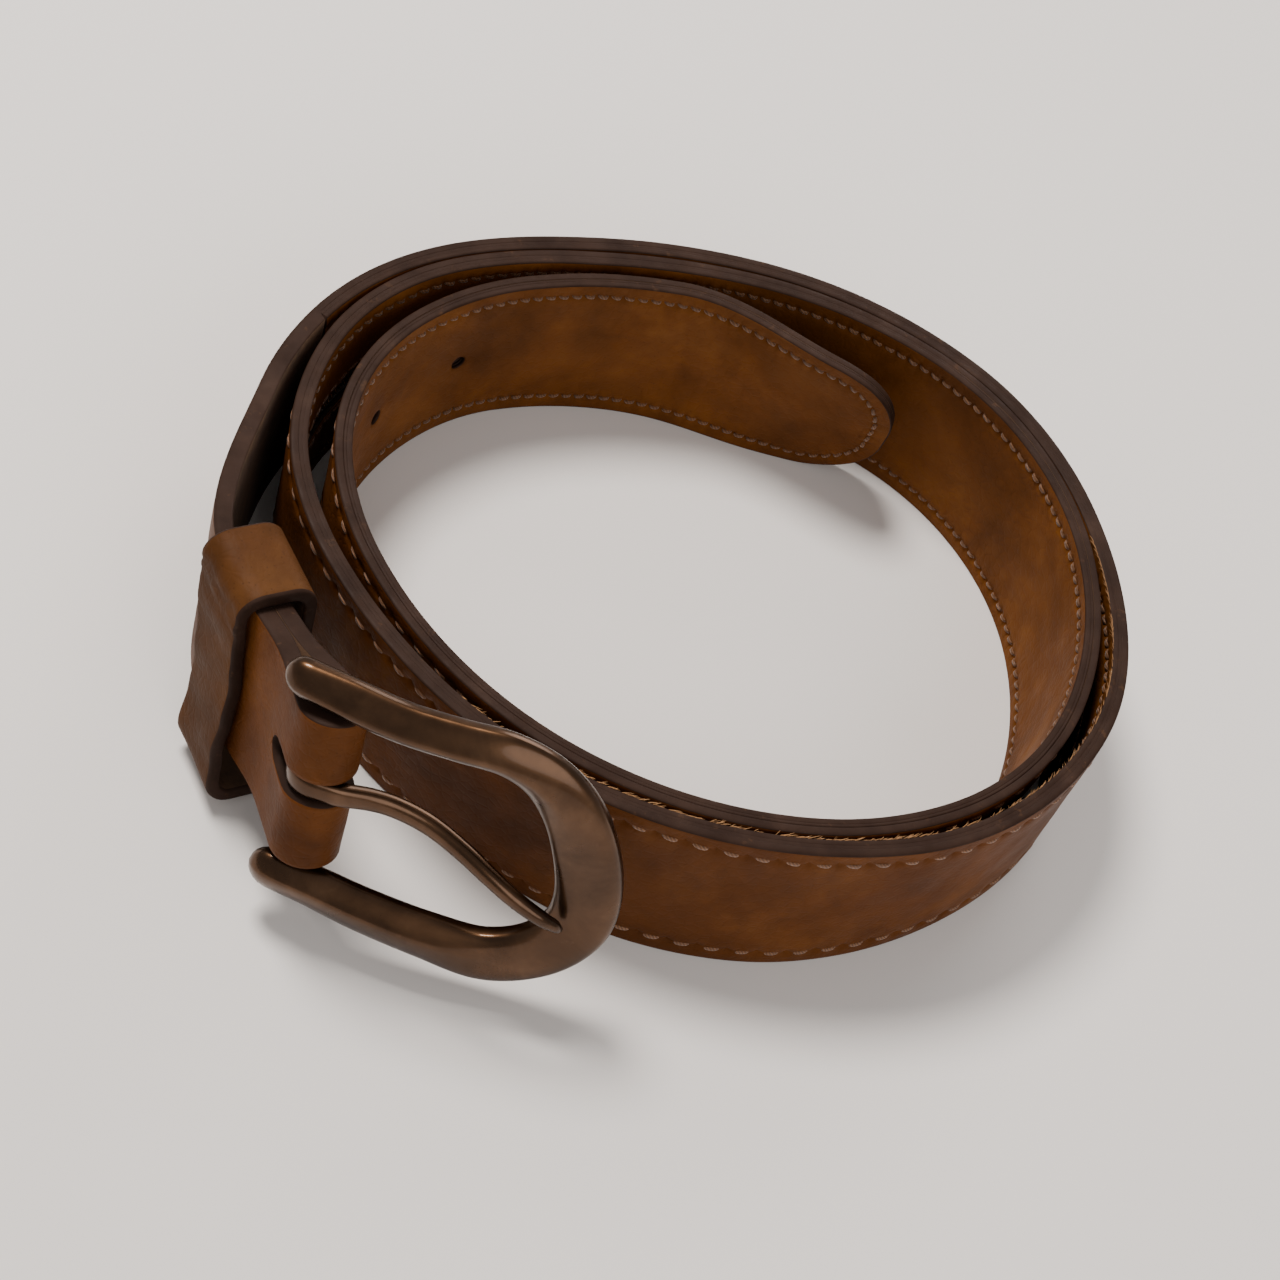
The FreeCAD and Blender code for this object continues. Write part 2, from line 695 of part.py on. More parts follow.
def prong_side():
    """Side view of the shaft: x towards the front, y away from the coil."""
    thick, reach = dim("ProngThickness"), dim("ProngReach")
    loop, rest = dim("ProngLoop"), bow_level(reach) + dim("FrameThickness") / 2 + 0.35
    start_low, start_high = 3.0, loop
    crest = reach * 0.45
    low_mid = loop + 0.9
    return [
        Part.Arc(Vector(0, start_high, 0), Vector(crest, low_mid + thick, 0),
                 Vector(reach, rest + 1.2, 0)),
        Part.LineSegment(Vector(reach, rest + 1.2, 0), Vector(reach, rest, 0)),
        Part.Arc(Vector(reach, rest, 0), Vector(crest, low_mid, 0),
                 Vector(2.0, start_low, 0)),
        Part.LineSegment(Vector(2.0, start_low, 0), Vector(0, start_high, 0)),
    ]


def buckle_prong():
    bore, loop, wide = dim("BarRadius") + dim("ProngClearance"), dim("ProngLoop"), dim("ProngWidth")
    beside_bar = dim("FoldShift") + dim("SlotShift")
    place = buckle_place.multiply(Placement(Vector(0, beside_bar, 0), Rotation()))
    ring = new_body("prong_loop", place)
    circles = [Part.Circle(Vector(0, 0, 0), Vector(0, 0, 1), loop),
               Part.Circle(Vector(0, 0, 0), Vector(0, 0, 1), bore)]
    pad(ring, sketch_on(ring, "prong_ring", circles, role="XZ_Plane"), wide, both_ways=True)
    skew = Placement(Vector(), Rotation(Vector(0, 0, 1), -dim("ProngSkew")))
    shaft = new_body("prong_shaft", place.multiply(skew))
    pad(shaft, sketch_on(shaft, "prong_side", prong_side(), role="XZ_Plane"),
        "Dimensions.ProngWidth", both_ways=True)
    clear = doc.addObject("Part::Cylinder", "prong_bore")
    clear.Radius = bore
    clear.Height = 20
    clear.Placement = place.multiply(
        Placement(Vector(0, -10, 0), Rotation(Vector(1, 0, 0), -90)))
    bored = cut(shaft, clear, "prong_shaft_bored")
    piece(fuse([ring, bored], "buckle_prong"), "buckle_prong")


buckle_frame()
buckle_prong()

# ---------------------------------------------------------------- check and write

doc.recompute()
broken = [obj.Name for obj in doc.Objects
          if any(state in obj.State for state in ("Invalid", "Error"))]
for obj in pieces:
    if obj.Shape.isNull() or not obj.Shape.isValid() or not obj.Shape.Solids:
        broken.append(obj.Label)
if broken:
    raise RuntimeError("not built: " + ", ".join(broken))

os.makedirs("parts", exist_ok=True)
for obj in pieces:
    obj.Shape.exportStep("parts/%s.step" % obj.Label)
print("pieces:", len(pieces), " strap length on the coil: %.0f mm" % coil_length)
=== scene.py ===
import math

import bmesh
import bpy
import numpy as np
from mathutils import Matrix, Vector

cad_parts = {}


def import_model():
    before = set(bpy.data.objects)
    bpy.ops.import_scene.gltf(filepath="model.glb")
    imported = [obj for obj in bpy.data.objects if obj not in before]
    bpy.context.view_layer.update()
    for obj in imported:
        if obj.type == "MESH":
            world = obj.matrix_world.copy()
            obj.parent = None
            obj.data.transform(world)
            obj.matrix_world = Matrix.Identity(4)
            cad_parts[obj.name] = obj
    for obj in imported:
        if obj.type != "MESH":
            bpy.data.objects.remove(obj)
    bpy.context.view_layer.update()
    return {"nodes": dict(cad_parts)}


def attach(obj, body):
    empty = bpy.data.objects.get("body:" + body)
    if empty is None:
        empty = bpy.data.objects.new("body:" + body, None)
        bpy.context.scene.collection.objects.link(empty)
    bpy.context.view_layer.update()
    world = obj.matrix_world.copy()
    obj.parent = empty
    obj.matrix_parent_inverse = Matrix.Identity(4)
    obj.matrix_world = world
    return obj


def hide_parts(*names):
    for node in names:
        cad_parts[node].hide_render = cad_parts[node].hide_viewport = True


# A money belt coiled on edge: leather strap with painted edges and sewn rims, keeper, bronze
# buckle and prong, and a zip in the lining. Sizes are in millimetres until a mesh is made.

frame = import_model()
nodes = frame["nodes"]

# ---------------------------------------------------------------- sizes shared with the CAD part

WIDTH, FACE, LEATHER_BACK, CORE_BACK = 30.0, 1.3, 0.1, -0.4
TIP_RADIUS, LINING_END = 13.0, 791.0
TIP = (18.33, 56.99, 184.15)
BENDS = [
    (202.4, 6.23), (82.9, 28.87), (38.0, 99.65), (63.5, 39.0), (70.0, 28.0), (55.5, 22.5),
    (43.0, 40.5), (52.5, 28.0), (45.5, 54.5), (66.5, 26.0), (100.0, 17.0), (53.5, 24.0),
    (42.0, 80.0), (63.0, 38.5), (78.0, 38.0), (49.5, 131.5), (79.0, 53.5), (57.5, 55.5),
]
HOLES = [74.5 + 19.0 * number for number in range(5)]
HOLE_RADIUS = 1.3
SEAM_INSET, STITCH, ZIP_STITCH = 2.8, 4.32, 2.6
POCKET_START, POCKET_END, ZIP_START, ZIP_END, ZIP_SLOT = 324.5, 643.0, 333.5, 631.0, 5.0
BAR = np.array([-32.3, -55.95, 26.48])
BUCKLE_HEADING, BUCKLE_RISE, BUCKLE_LEAN, END_HEADING = 11.0, 4.0, 14.5, -40.0
NECK_WIDTH, END_LENGTH, SLOT_WIDTH, SLOT_REACH = 27.0, 26.0, 5.0, 7.0
FOLD_MIDDLE_RADIUS, FOLD_SHIFT, SLOT_SHIFT, LAYER_GAP = 3.6, 1.0, 0.6, 0.05
BAR_RADIUS, BAR_HALF = 2.0, 17.0
KEEPER_MOUTH, KEEPER_LENGTH, KEEPER_WALL = -18.0, 11.8, 2.0

MM = 0.001
random = np.random.RandomState(11)

# ---------------------------------------------------------------- directions at the buckle


def unit(vector):
    return vector / np.linalg.norm(vector)


def buckle_axes():
    heading, rise, lean = map(math.radians, (BUCKLE_HEADING, BUCKLE_RISE, BUCKLE_LEAN))
    forward = np.array([math.cos(rise) * math.cos(heading), math.cos(rise) * math.sin(heading),
                        math.sin(rise)])
    upright = unit(np.array([0, 0, 1.0]) - forward * forward[2])
    bar = upright * math.cos(lean) + np.cross(upright, forward) * math.sin(lean)
    level = np.array([math.cos(math.radians(END_HEADING)), math.sin(math.radians(END_HEADING)), 0])
    ahead = unit(level - np.array([0, 0, level @ bar / bar[2]]))
    return forward, bar, np.cross(forward, bar), ahead, np.cross(bar, ahead)


FORWARD, BAR_AXIS, OUTWARD, AHEAD, INWARD = buckle_axes()


def buckle_point(x, y, z):
    """x from the bar to the frame's front, y along the bar, z away from the coil."""
    x, y, z = (np.asarray(v, float)[..., None] for v in (x, y, z))
    return BAR + FORWARD * x + BAR_AXIS * y + OUTWARD * z


def end_point(x, y, z):
    """x towards the bar, y towards the coil, z along the bar."""
    x, y, z = (np.asarray(v, float)[..., None] for v in (x, y, z))
    return BAR + AHEAD * x + INWARD * y + BAR_AXIS * (z + FOLD_SHIFT)


def smoothstep(low, high, value):
    t = np.clip((np.asarray(value, float) - low) / (high - low), 0, 1)
    return t * t * (3 - 2 * t)


# ---------------------------------------------------------------- the strap's middle line


def coil_samples(step):
    x, y, heading = TIP[0], TIP[1], math.radians(TIP[2])
    points, sides = [], []
    for radius, turn in BENDS:
        turn = math.radians(turn)
        centre = np.array([x - radius * math.sin(heading), y + radius * math.cos(heading)])
        angle = heading - math.pi / 2
        count = int(round(radius * turn / step))
        for t in np.arange(count) / count:
            side = np.array([math.cos(angle + turn * t), math.sin(angle + turn * t)])
            points.append([*(centre + radius * side), WIDTH / 2])
            sides.append([*side, 0])
        heading += turn
        x, y = centre + radius * np.array([math.sin(heading), -math.cos(heading)])
    return np.array(points), np.array(sides), np.array([x, y, WIDTH / 2]), heading


def neck_samples(start, heading, count=70):
    leave = np.array([math.cos(heading), math.sin(heading), 0])
    finish = end_point(-END_LENGTH, -LAYER_GAP - FACE, 0)
    route = [start, start + leave * 13 + [0, 0, 0.4], finish - AHEAD * 13, finish]
    points, sides, ups = [], [], []
    for t in np.arange(count) / count:
        u = 1 - t
        weights = (u ** 3, 3 * u * u * t, 3 * u * t * t, t ** 3)
        slopes = (-3 * u * u, 3 * u * u - 6 * u * t, 6 * u * t - 3 * t * t, 3 * t * t)
        along = sum(w * p for w, p in zip(slopes, route))
        along[2] *= min(1, t * 5)
        along = unit(along)
        blend = smoothstep(0, 1, t)
        side = unit(np.cross(along, np.array([0, 0, 1.0]) * (1 - blend) + BAR_AXIS * blend))
        points.append(sum(w * p for w, p in zip(weights, route)))
        sides.append(side)
        ups.append(np.cross(side, along))
    return np.array(points), np.array(sides), np.array(ups)


def fold_samples(step=0.2):
    """The strap's end: ahead to the bar, round it and back, seen along the bar."""
    radius, offset, bend_x = FOLD_MIDDLE_RADIUS, LAYER_GAP + FACE, -11.0
    corner = np.array([bend_x, -offset])
    angle = math.atan2(corner[1], corner[0]) + math.acos(radius / np.linalg.norm(corner))
    angles = np.linspace(angle, -angle, 60)
    arc = np.stack([radius * np.cos(angles), radius * np.sin(angles)], 1)
    corners = np.concatenate([[[-END_LENGTH, -offset], corner], arc,
                              [[bend_x, offset], [-END_LENGTH + 0.3, offset]]])
    lengths = np.concatenate([[0], np.cumsum(np.linalg.norm(np.diff(corners, axis=0), axis=1))])
    at = np.arange(0, lengths[-1], step)
    flat = np.stack([np.interp(at, lengths, corners[:, k]) for k in (0, 1)], 1)
    reach = int(2.0 / step)
    for _ in range(2):                              # ease the slight corners at bend_x
        padded = np.concatenate([np.repeat(flat[:1], reach, 0), flat,
                                 np.repeat(flat[-1:], reach, 0)])
        kernel = np.ones(2 * reach + 1) / (2 * reach + 1)
        eased = np.stack([np.convolve(padded[:, k], kernel, "valid") for k in (0, 1)], 1)
        weight = smoothstep(-14, -11.5, flat[:, 0]) * (1 - smoothstep(-9.5, -7, flat[:, 0]))
        flat = flat + (eased - flat) * weight[:, None]
    slope = np.gradient(flat, axis=0)
    slope /= np.linalg.norm(slope, axis=1)[:, None]
    sides = AHEAD * slope[:, 1:2] - INWARD * slope[:, :1]
    return end_point(flat[:, 0], flat[:, 1], 0 * at), sides, flat


def strap_line():
    coil, coil_sides, joint, heading = coil_samples(0.25)
    neck, neck_sides, neck_ups = neck_samples(joint, heading)
    fold, fold_sides, flat = fold_samples()
    points = np.concatenate([coil, neck, fold])
    sides = np.concatenate([coil_sides, neck_sides, fold_sides])
    ups = np.concatenate([np.tile([0, 0, 1.0], (len(coil), 1)), neck_ups,
                          np.tile(BAR_AXIS, (len(fold), 1))])
    along = np.concatenate([[0], np.cumsum(np.linalg.norm(np.diff(points, axis=0), axis=1))])
    marks = {"coil": along[len(coil)], "neck": along[len(coil) + len(neck)], "end": along[-1]}
    fold_along = along[len(coil) + len(neck):]
    near_bar = np.where(flat[:, 0] > -SLOT_REACH)[0]
    marks["slot"] = (fold_along[near_bar[0]], fold_along[near_bar[-1]])
    return along, points, sides, ups, marks


LINE, LINE_POINTS, LINE_SIDES, LINE_UPS, MARKS = strap_line()

# The soft strap sags off the plain spiral: place along the strap, and shift outward at its top
# and at its foot.
TOP_SHIFT = [
    (0, 0.0), (55, 0.0), (66, -0.4), (78, -0.3), (92, 0.5), (104, 0.7), (122, 0.0), (374, 0.0),
    (388, 0.1), (400, 1.1), (409, 2.3), (419, 3.1), (428, 3.5), (438, 3.2), (450, 2.8),
    (459, 1.7), (470, 0.7), (485, 0.0), (609, 0.0), (620, -0.8), (631, -1.7), (642, -2.1),
    (654, -1.8), (664, -1.4), (675, -0.9), (686, -0.7), (696, -0.8), (705, -1.1), (714, -1.5),
    (724, -1.9), (735, -2.0), (745, -1.8), (753, -1.2), (761, -0.2), (770, 1.1), (780, 2.2),
    (790, 2.7), (803, 2.6), (815, 2.0), (830, 0.7), (842, 0.0),
]
FOOT_SHIFT = [
    (0, 0.2), (6, -0.4), (12, -1.2), (20, -2.3), (27, -2.2), (34, -1.2), (42, -0.6), (55, -0.5),
    (66, -0.9), (75, -1.4), (84, -1.7), (95, -1.6), (108, -0.9), (125, 0.0), (385, 0.0),
    (400, 0.7), (419, 2.0), (436, 2.2), (455, 1.2), (475, 0.2), (505, 0.0), (520, 1.4),
    (531, 2.1), (544, 2.2), (552, 2.1), (561, 1.4), (570, 0.6), (581, 0.3), (592, 0.8),
    (602, 1.5), (615, 1.0), (628, -0.4), (642, -1.2), (654, -1.2), (664, -1.1), (675, -0.9),
    (686, -0.7), (696, -0.8), (705, -1.0), (714, -1.2), (735, -1.5), (750, -1.2), (761, -0.2),
    (775, 0.9), (790, 1.5), (803, 1.6), (820, 0.9), (842, 0.0),
]


def eased(table, reach=10.0):
    """A table of knots as a smooth value at each place of the line."""
    around = np.linspace(-reach, reach, 21)
    places, values = np.array(table, float).T
    weights = np.cos(around / reach * math.pi / 2) ** 2
    return sum(w * np.interp(LINE + step, places, values)
               for step, w in zip(around, weights / weights.sum()))


SHIFTS = eased(TOP_SHIFT), eased(FOOT_SHIFT)


def place(along, across, height):
    """A point of the strap: distance from the tip, outward from the middle line, height."""
    along, across, height = np.broadcast_arrays(*(np.asarray(v, float)
                                                  for v in (along, across, height)))

    def sampled(table):
        return np.stack([np.interp(along, LINE, table[:, k]) for k in range(3)], -1)

    # the loose tip leans in at its top
    tip_lean = math.tan(math.radians(12.5)) * (1 - smoothstep(8, 40, along))
    top, foot = (np.interp(along, LINE, shift) for shift in SHIFTS)
    across = across - tip_lean * height + foot + (top - foot) * height / WIDTH
    return (sampled(LINE_POINTS) + sampled(LINE_SIDES) * across[..., None]
            + sampled(LINE_UPS) * (height - WIDTH / 2)[..., None])


def half_width(along):
    return WIDTH / 2 + (NECK_WIDTH - WIDTH) / 2 * smoothstep(MARKS["coil"], MARKS["neck"], along)


# ---------------------------------------------------------------- places measured along the seam

SEAM_RADIUS = TIP_RADIUS - SEAM_INSET
FLAT_TIP = WIDTH / 2 - TIP_RADIUS
SEAM_TO_SIDE = FLAT_TIP + SEAM_RADIUS * math.pi / 2     # along the seam, tip's middle to side


def rim(seam):
    """Outline point and inward direction beside a place measured along the seam."""
    seam = np.asarray(seam, float)
    angle = np.clip((seam - FLAT_TIP) / SEAM_RADIUS, 0, math.pi / 2)
    along = TIP_RADIUS * (1 - np.cos(angle)) + np.maximum(seam - SEAM_TO_SIDE, 0)
    half = (np.minimum(seam, FLAT_TIP) + TIP_RADIUS * np.sin(angle)
            + half_width(along) - WIDTH / 2)
    return along, half, np.cos(angle), -np.sin(angle)


def seam_of(along):
    return along - TIP_RADIUS + SEAM_TO_SIDE


def waves(x, y, size, count=14):
    """Smooth uneven relief, about -1 to 1, from a sum of slanted waves."""
    total = np.zeros(np.broadcast(x, y).shape)
    for _ in range(count):
        angle, phase = random.uniform(0, math.pi), random.uniform(0, 2 * math.pi)
        pitch = size * random.uniform(0.6, 1.8)
        total += np.sin((x * math.cos(angle) + y * math.sin(angle)) * 2 * math.pi / pitch + phase)
    return total / math.sqrt(count)


# ---------------------------------------------------------------- meshes


def shape(name, points, faces, body, materials, slots=None, replaces=(), finish=None,
          smooth=True, weld=0.0):
    """A mesh piece from points in millimetres, riding on a body of the model."""
    mesh = bpy.data.meshes.new(name)
    mesh.from_pydata((np.asarray(points) * MM).tolist(), [], faces)
    for material in materials:
        mesh.materials.append(material)
    if slots is not None:
        mesh.polygons.foreach_set("material_index", np.asarray(slots, np.int32))
    work = bmesh.new()
    work.from_mesh(mesh)
    if weld:
        bmesh.ops.remove_doubles(work, verts=work.verts, dist=weld * MM)
        bmesh.ops.dissolve_degenerate(work, edges=work.edges, dist=1e-7)
    bmesh.ops.recalc_face_normals(work, faces=work.faces)
    work.to_mesh(mesh)
    work.free()
    mesh.polygons.foreach_set("use_smooth", np.full(len(mesh.polygons), smooth))
    mesh.update()
    obj = bpy.data.objects.new(name, mesh)
    bpy.context.scene.collection.objects.link(obj)
    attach(obj, body)
    if replaces:
        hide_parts(*replaces)
    return obj


def sweep(rings, closed=False, caps=True):
    """Faces that join rings of equal length; rings is an array of rings of points."""
    count, around = rings.shape[:2]
    faces = []
    for i in range(count if closed else count - 1):
        a, b = i * around, ((i + 1) % count) * around
        faces += [(a + j, a + (j + 1) % around, b + (j + 1) % around, b + j)
                  for j in range(around)]
    if caps and not closed:
        faces += [tuple(range(around)), tuple((count - 1) * around + j for j in range(around))]
    return rings.reshape(-1, 3), faces


def joined(parts):
    """Several (points, faces) made into one."""
    points, faces, start = [], [], 0
    for some_points, some_faces in parts:
        points.append(some_points)
        faces += [tuple(start + corner for corner in face) for face in some_faces]
        start += len(some_points)
    return np.concatenate(points), faces


# ---------------------------------------------------------------- strap layers

# insets from the rim, half heights of the rows in the middle, and (level, inset) across the edge
RING = [0.26, 0.7, 1.3, 1.9, 2.35, 2.6, 2.8, 3.0, 3.25, 3.7, 4.3]
MIDDLE = [8.8, 7.0, 5.3, 4.1, 3.2, 2.5, 1.9, 1.3, 0.7]
EDGE_ROWS = [(0.93, 0.08), (0.75, 0.0), (0.5, -0.03), (0.12, 0.0)]
INNER = RING[-1]
INNER_HALF = WIDTH / 2 - INNER


def layer_rows():
    """Loop round a layer's section: (level, side of the strap, inset or None, middle height)."""
    loop = [("front", -1, inset, None) for inset in RING]
    loop += [("front", -1, None, value) for value in MIDDLE] + [("front", 0, None, 0.0)]
    loop += [("front", 1, None, value) for value in MIDDLE[::-1]]
    loop += [("front", 1, inset, None) for inset in RING[::-1]]
    loop += [(level, 1, inset, None) for level, inset in EDGE_ROWS]
    loop += [("back", 1, 0.015, None), ("back", 1, INNER, None)]
    loop += [("back", 1, None, value) for value in MIDDLE] + [("back", 0, None, 0.0)]
    loop += [("back", -1, None, value) for value in MIDDLE[::-1]]
    loop += [("back", -1, INNER, None), ("back", -1, 0.015, None)]
    loop += [(level, -1, inset, None) for level, inset in EDGE_ROWS[::-1]]
    return loop


def seam_columns(end, extra):
    """Places along the seam, close together beside each stitch hole."""
    places = []
    for number in range(-1, int(end / STITCH) + 3):
        first = (number + 0.5) * STITCH
        places += [first + step for step in (0.0, 0.45, 1.1, 1.7, 2.16, 2.62, 3.22, 3.87)]
    places = [p for p in places if 0 < p < end] + [0.0, end]
    for group in extra:
        low, high = min(group) - 0.45, max(group) + 0.45
        places = [p for p in places if not low < p < high] + list(group)
    return np.array(sorted(set(round(p, 4) for p in places)))


def layer(name, front, back, end, front_relief, windows, materials, **options):
    """One leather layer from the tip to end, with windows cut in its middle."""
    beside_hole = np.array([5, 3.6, 2.6, 1.9, 1.3, 0.65])
    beside_hole = np.concatenate([-beside_hole, [0], beside_hole[::-1]])
    extra = [seam_of(hole + beside_hole) for hole in HOLES]
    for low, high, half, _ in windows:
        for edge, way in ((low, 1), (high, -1)):
            extra.append(seam_of(np.sort(edge + way * np.array([0, 0.3, 0.9, 1.8, 3.2]))))
    columns = seam_columns(seam_of(end), extra)
    edge_along, edge_half, inward_along, inward_up = rim(columns)
    loop = layer_rows()
    count, around = len(columns), len(loop)
    along, height, across = (np.zeros((count, around)) for _ in range(3))
    inset_of = np.zeros((count, around))
    front_level = front(edge_along)
    back_level = back(edge_along)
    inner_half = edge_half + INNER * inward_up
    for j, (level, side, inset, middle) in enumerate(loop):
        if inset is None:
            along[:, j] = edge_along + INNER * inward_along
            share = middle / INNER_HALF
            height[:, j] = side * inner_half * share
            inset_of[:, j] = INNER + 5
        else:
            along[:, j] = edge_along + inset * inward_along
            height[:, j] = side * (edge_half + inset * inward_up)
            inset_of[:, j] = inset
        if level == "front":
            across[:, j] = front_level
        elif level == "back":
            across[:, j] = back_level
        else:
            across[:, j] = back_level + level * (front_level - back_level)
    is_front = np.array([item[0] == "front" for item in loop])
    is_back = np.array([item[0] == "back" for item in loop])
    for hole in HOLES:                               # ease the grid into a circle round a hole
        dx, dz = along - hole, height
        square, round_ = np.maximum(abs(dx), abs(dz)), np.hypot(dx, dz) + 1e-9
        inside = (square < 5) & (is_front | is_back)[None, :]
        ease = np.clip((5 - square) / (5 - HOLE_RADIUS), 0, 1)
        along = np.where(inside, hole + dx * (1 - ease) + dx / round_ * square * ease, along)
        height = np.where(inside, dz * (1 - ease) + dz / round_ * square * ease, height)
    for low, high, half, lift in windows:            # round the ends of a long window
        rounding = min(half, 3.2)
        reach = np.minimum(along - low, high - along)
        t = np.clip(reach / rounding, 0, 1)
        ends = np.sqrt(np.clip(1 - (1 - t) ** 2, 0.02, 1))
        inside = ((reach >= -1e-6) & (abs(height) <= INNER_HALF - 0.1)
                  & (is_front | is_back)[None, :])
        size = abs(height)
        shrunk = np.where(size <= half + 0.3, size * ends,
                          size - half * (1 - ends) * np.clip((9 - size) / (9 - half), 0, 1))
        height = np.where(inside, np.sign(height) * shrunk, height)
        beside = smoothstep(-4, -1, reach) * (1 - smoothstep(4, 8.5, abs(height)))
        height = height + lift * beside * (is_front | is_back)[None, :]
    sign = 1 if front_level[0] > back_level[0] else -1
    relief = front_relief(along, height, inset_of, columns[:, None])
    across = across + np.where(is_front[None, :], relief * sign, 0)
    for hole in HOLES:
        reach = np.hypot(along - hole, height)
        dished = sign * 0.14 * np.exp(-((reach - HOLE_RADIUS) / 0.7) ** 2)
        across -= np.where(is_front[None, :], dished, 0)
    points = place(along, across, height + WIDTH / 2).reshape(-1, 3)

    def index(i, j):
        return i * around + j % around
    row_of = {}
    for j, (level, side, inset, middle) in enumerate(loop):
        if middle is not None:
            row_of[(level, side * middle)] = j
    skip, walls = set(), []
    openings = [(hole - HOLE_RADIUS, hole + HOLE_RADIUS, HOLE_RADIUS) for hole in HOLES]
    openings += [window[:3] for window in windows]
    for low, high, half in openings:
        i0 = int(np.argmin(abs(columns - seam_of(low))))
        i1 = int(np.argmin(abs(columns - seam_of(high))))
        f0, f1 = row_of[("front", -half)], row_of[("front", half)]
        b0, b1 = row_of[("back", half)], row_of[("back", -half)]
        for i in range(i0, i1):
            skip.update((i, j) for j in range(f0, f1))
            skip.update((i, j) for j in range(b0, b1))
        loop_front = ([index(i, f0) for i in range(i0, i1)] + [index(i1, j) for j in range(f0, f1)]
                      + [index(i, f1) for i in range(i1, i0, -1)]
                      + [index(i0, j) for j in range(f1, f0, -1)])
        loop_back = ([index(i, b1) for i in range(i0, i1)]
                     + [index(i1, j) for j in range(b1, b0, -1)]
                     + [index(i, b0) for i in range(i1, i0, -1)]
                     + [index(i0, j) for j in range(b0, b1)])
        walls += [(loop_front[k], loop_front[(k + 1) % len(loop_front)],
                   loop_back[(k + 1) % len(loop_front)], loop_back[k])
                  for k in range(len(loop_front))]
    faces, slots = [], []
    for j in range(around):
        kind = loop[j][0], loop[(j + 1) % around][0]
        slot = 0 if kind == ("front", "front") else 2 if kind == ("back", "back") else 1
        for i in range(count - 1):
            if (i, j) not in skip:
                faces.append((index(i, j), index(i, j + 1), index(i + 1, j + 1), index(i + 1, j)))
                slots.append(slot)
    faces += walls
    slots += [1] * len(walls)
    faces.append(tuple(index(count - 1, j) for j in range(around)))
    slots.append(1)
    return shape(name, points, faces, "strap", materials, slots, weld=0.004, **options)


def level(value):
    return lambda along: np.full(np.shape(along), value)


# ---------------------------------------------------------------- relief of the leather


def needle_marks(inset, seam, pitch, deep, puffed):
    """The groove under a seam, with a pit at each needle hole and puffs between the pits."""
    across = inset - SEAM_INSET
    to_hole = ((seam - STITCH / 2) / pitch + 0.5) % 1 - 0.5
    groove = -0.13 * np.exp(-(across / 0.5) ** 2)
    pit = -deep * np.exp(-(across / 0.62) ** 2 - (to_hole * pitch / 0.5) ** 2)
    puff = puffed * np.exp(-((abs(across) - 0.8) / 0.75) ** 2) * -np.cos(2 * math.pi * to_hole)
    return groove + pit + puff


def face_relief(along, height, inset, seam):
    active = 1 - smoothstep(802, 806, along)
    body = 0.06 * waves(along, height, 16) + 0.02 * waves(along, height, 5)
    return (needle_marks(inset, seam, STITCH, 0.4, 0.05) * active
            + body * smoothstep(0.2, 2, inset))


def lining_relief(along, height, inset, seam):
    body = 0.07 * waves(along, height, 14) + 0.02 * waves(along, height, 4)
    creases = np.zeros(np.shape(along))
    for place_along in np.sort(random.uniform(20, 330, 26)):
        slant = random.uniform(-0.25, 0.25)
        depth, wide = random.uniform(0.04, 0.14), random.uniform(0.6, 1.2)
        middle, reach = random.uniform(-6, 6), random.uniform(5, 11)
        bend = place_along + slant * height + 0.6 * np.sin(height / 3 + place_along)
        creases -= depth * np.exp(-((along - bend) / wide) ** 2) * np.exp(
            -((height - middle) / reach) ** 4)
    return (needle_marks(inset, seam, STITCH / 2, 0.36, 0.09)
            + (body + creases) * smoothstep(0.2, 2, inset))


# ---------------------------------------------------------------- materials


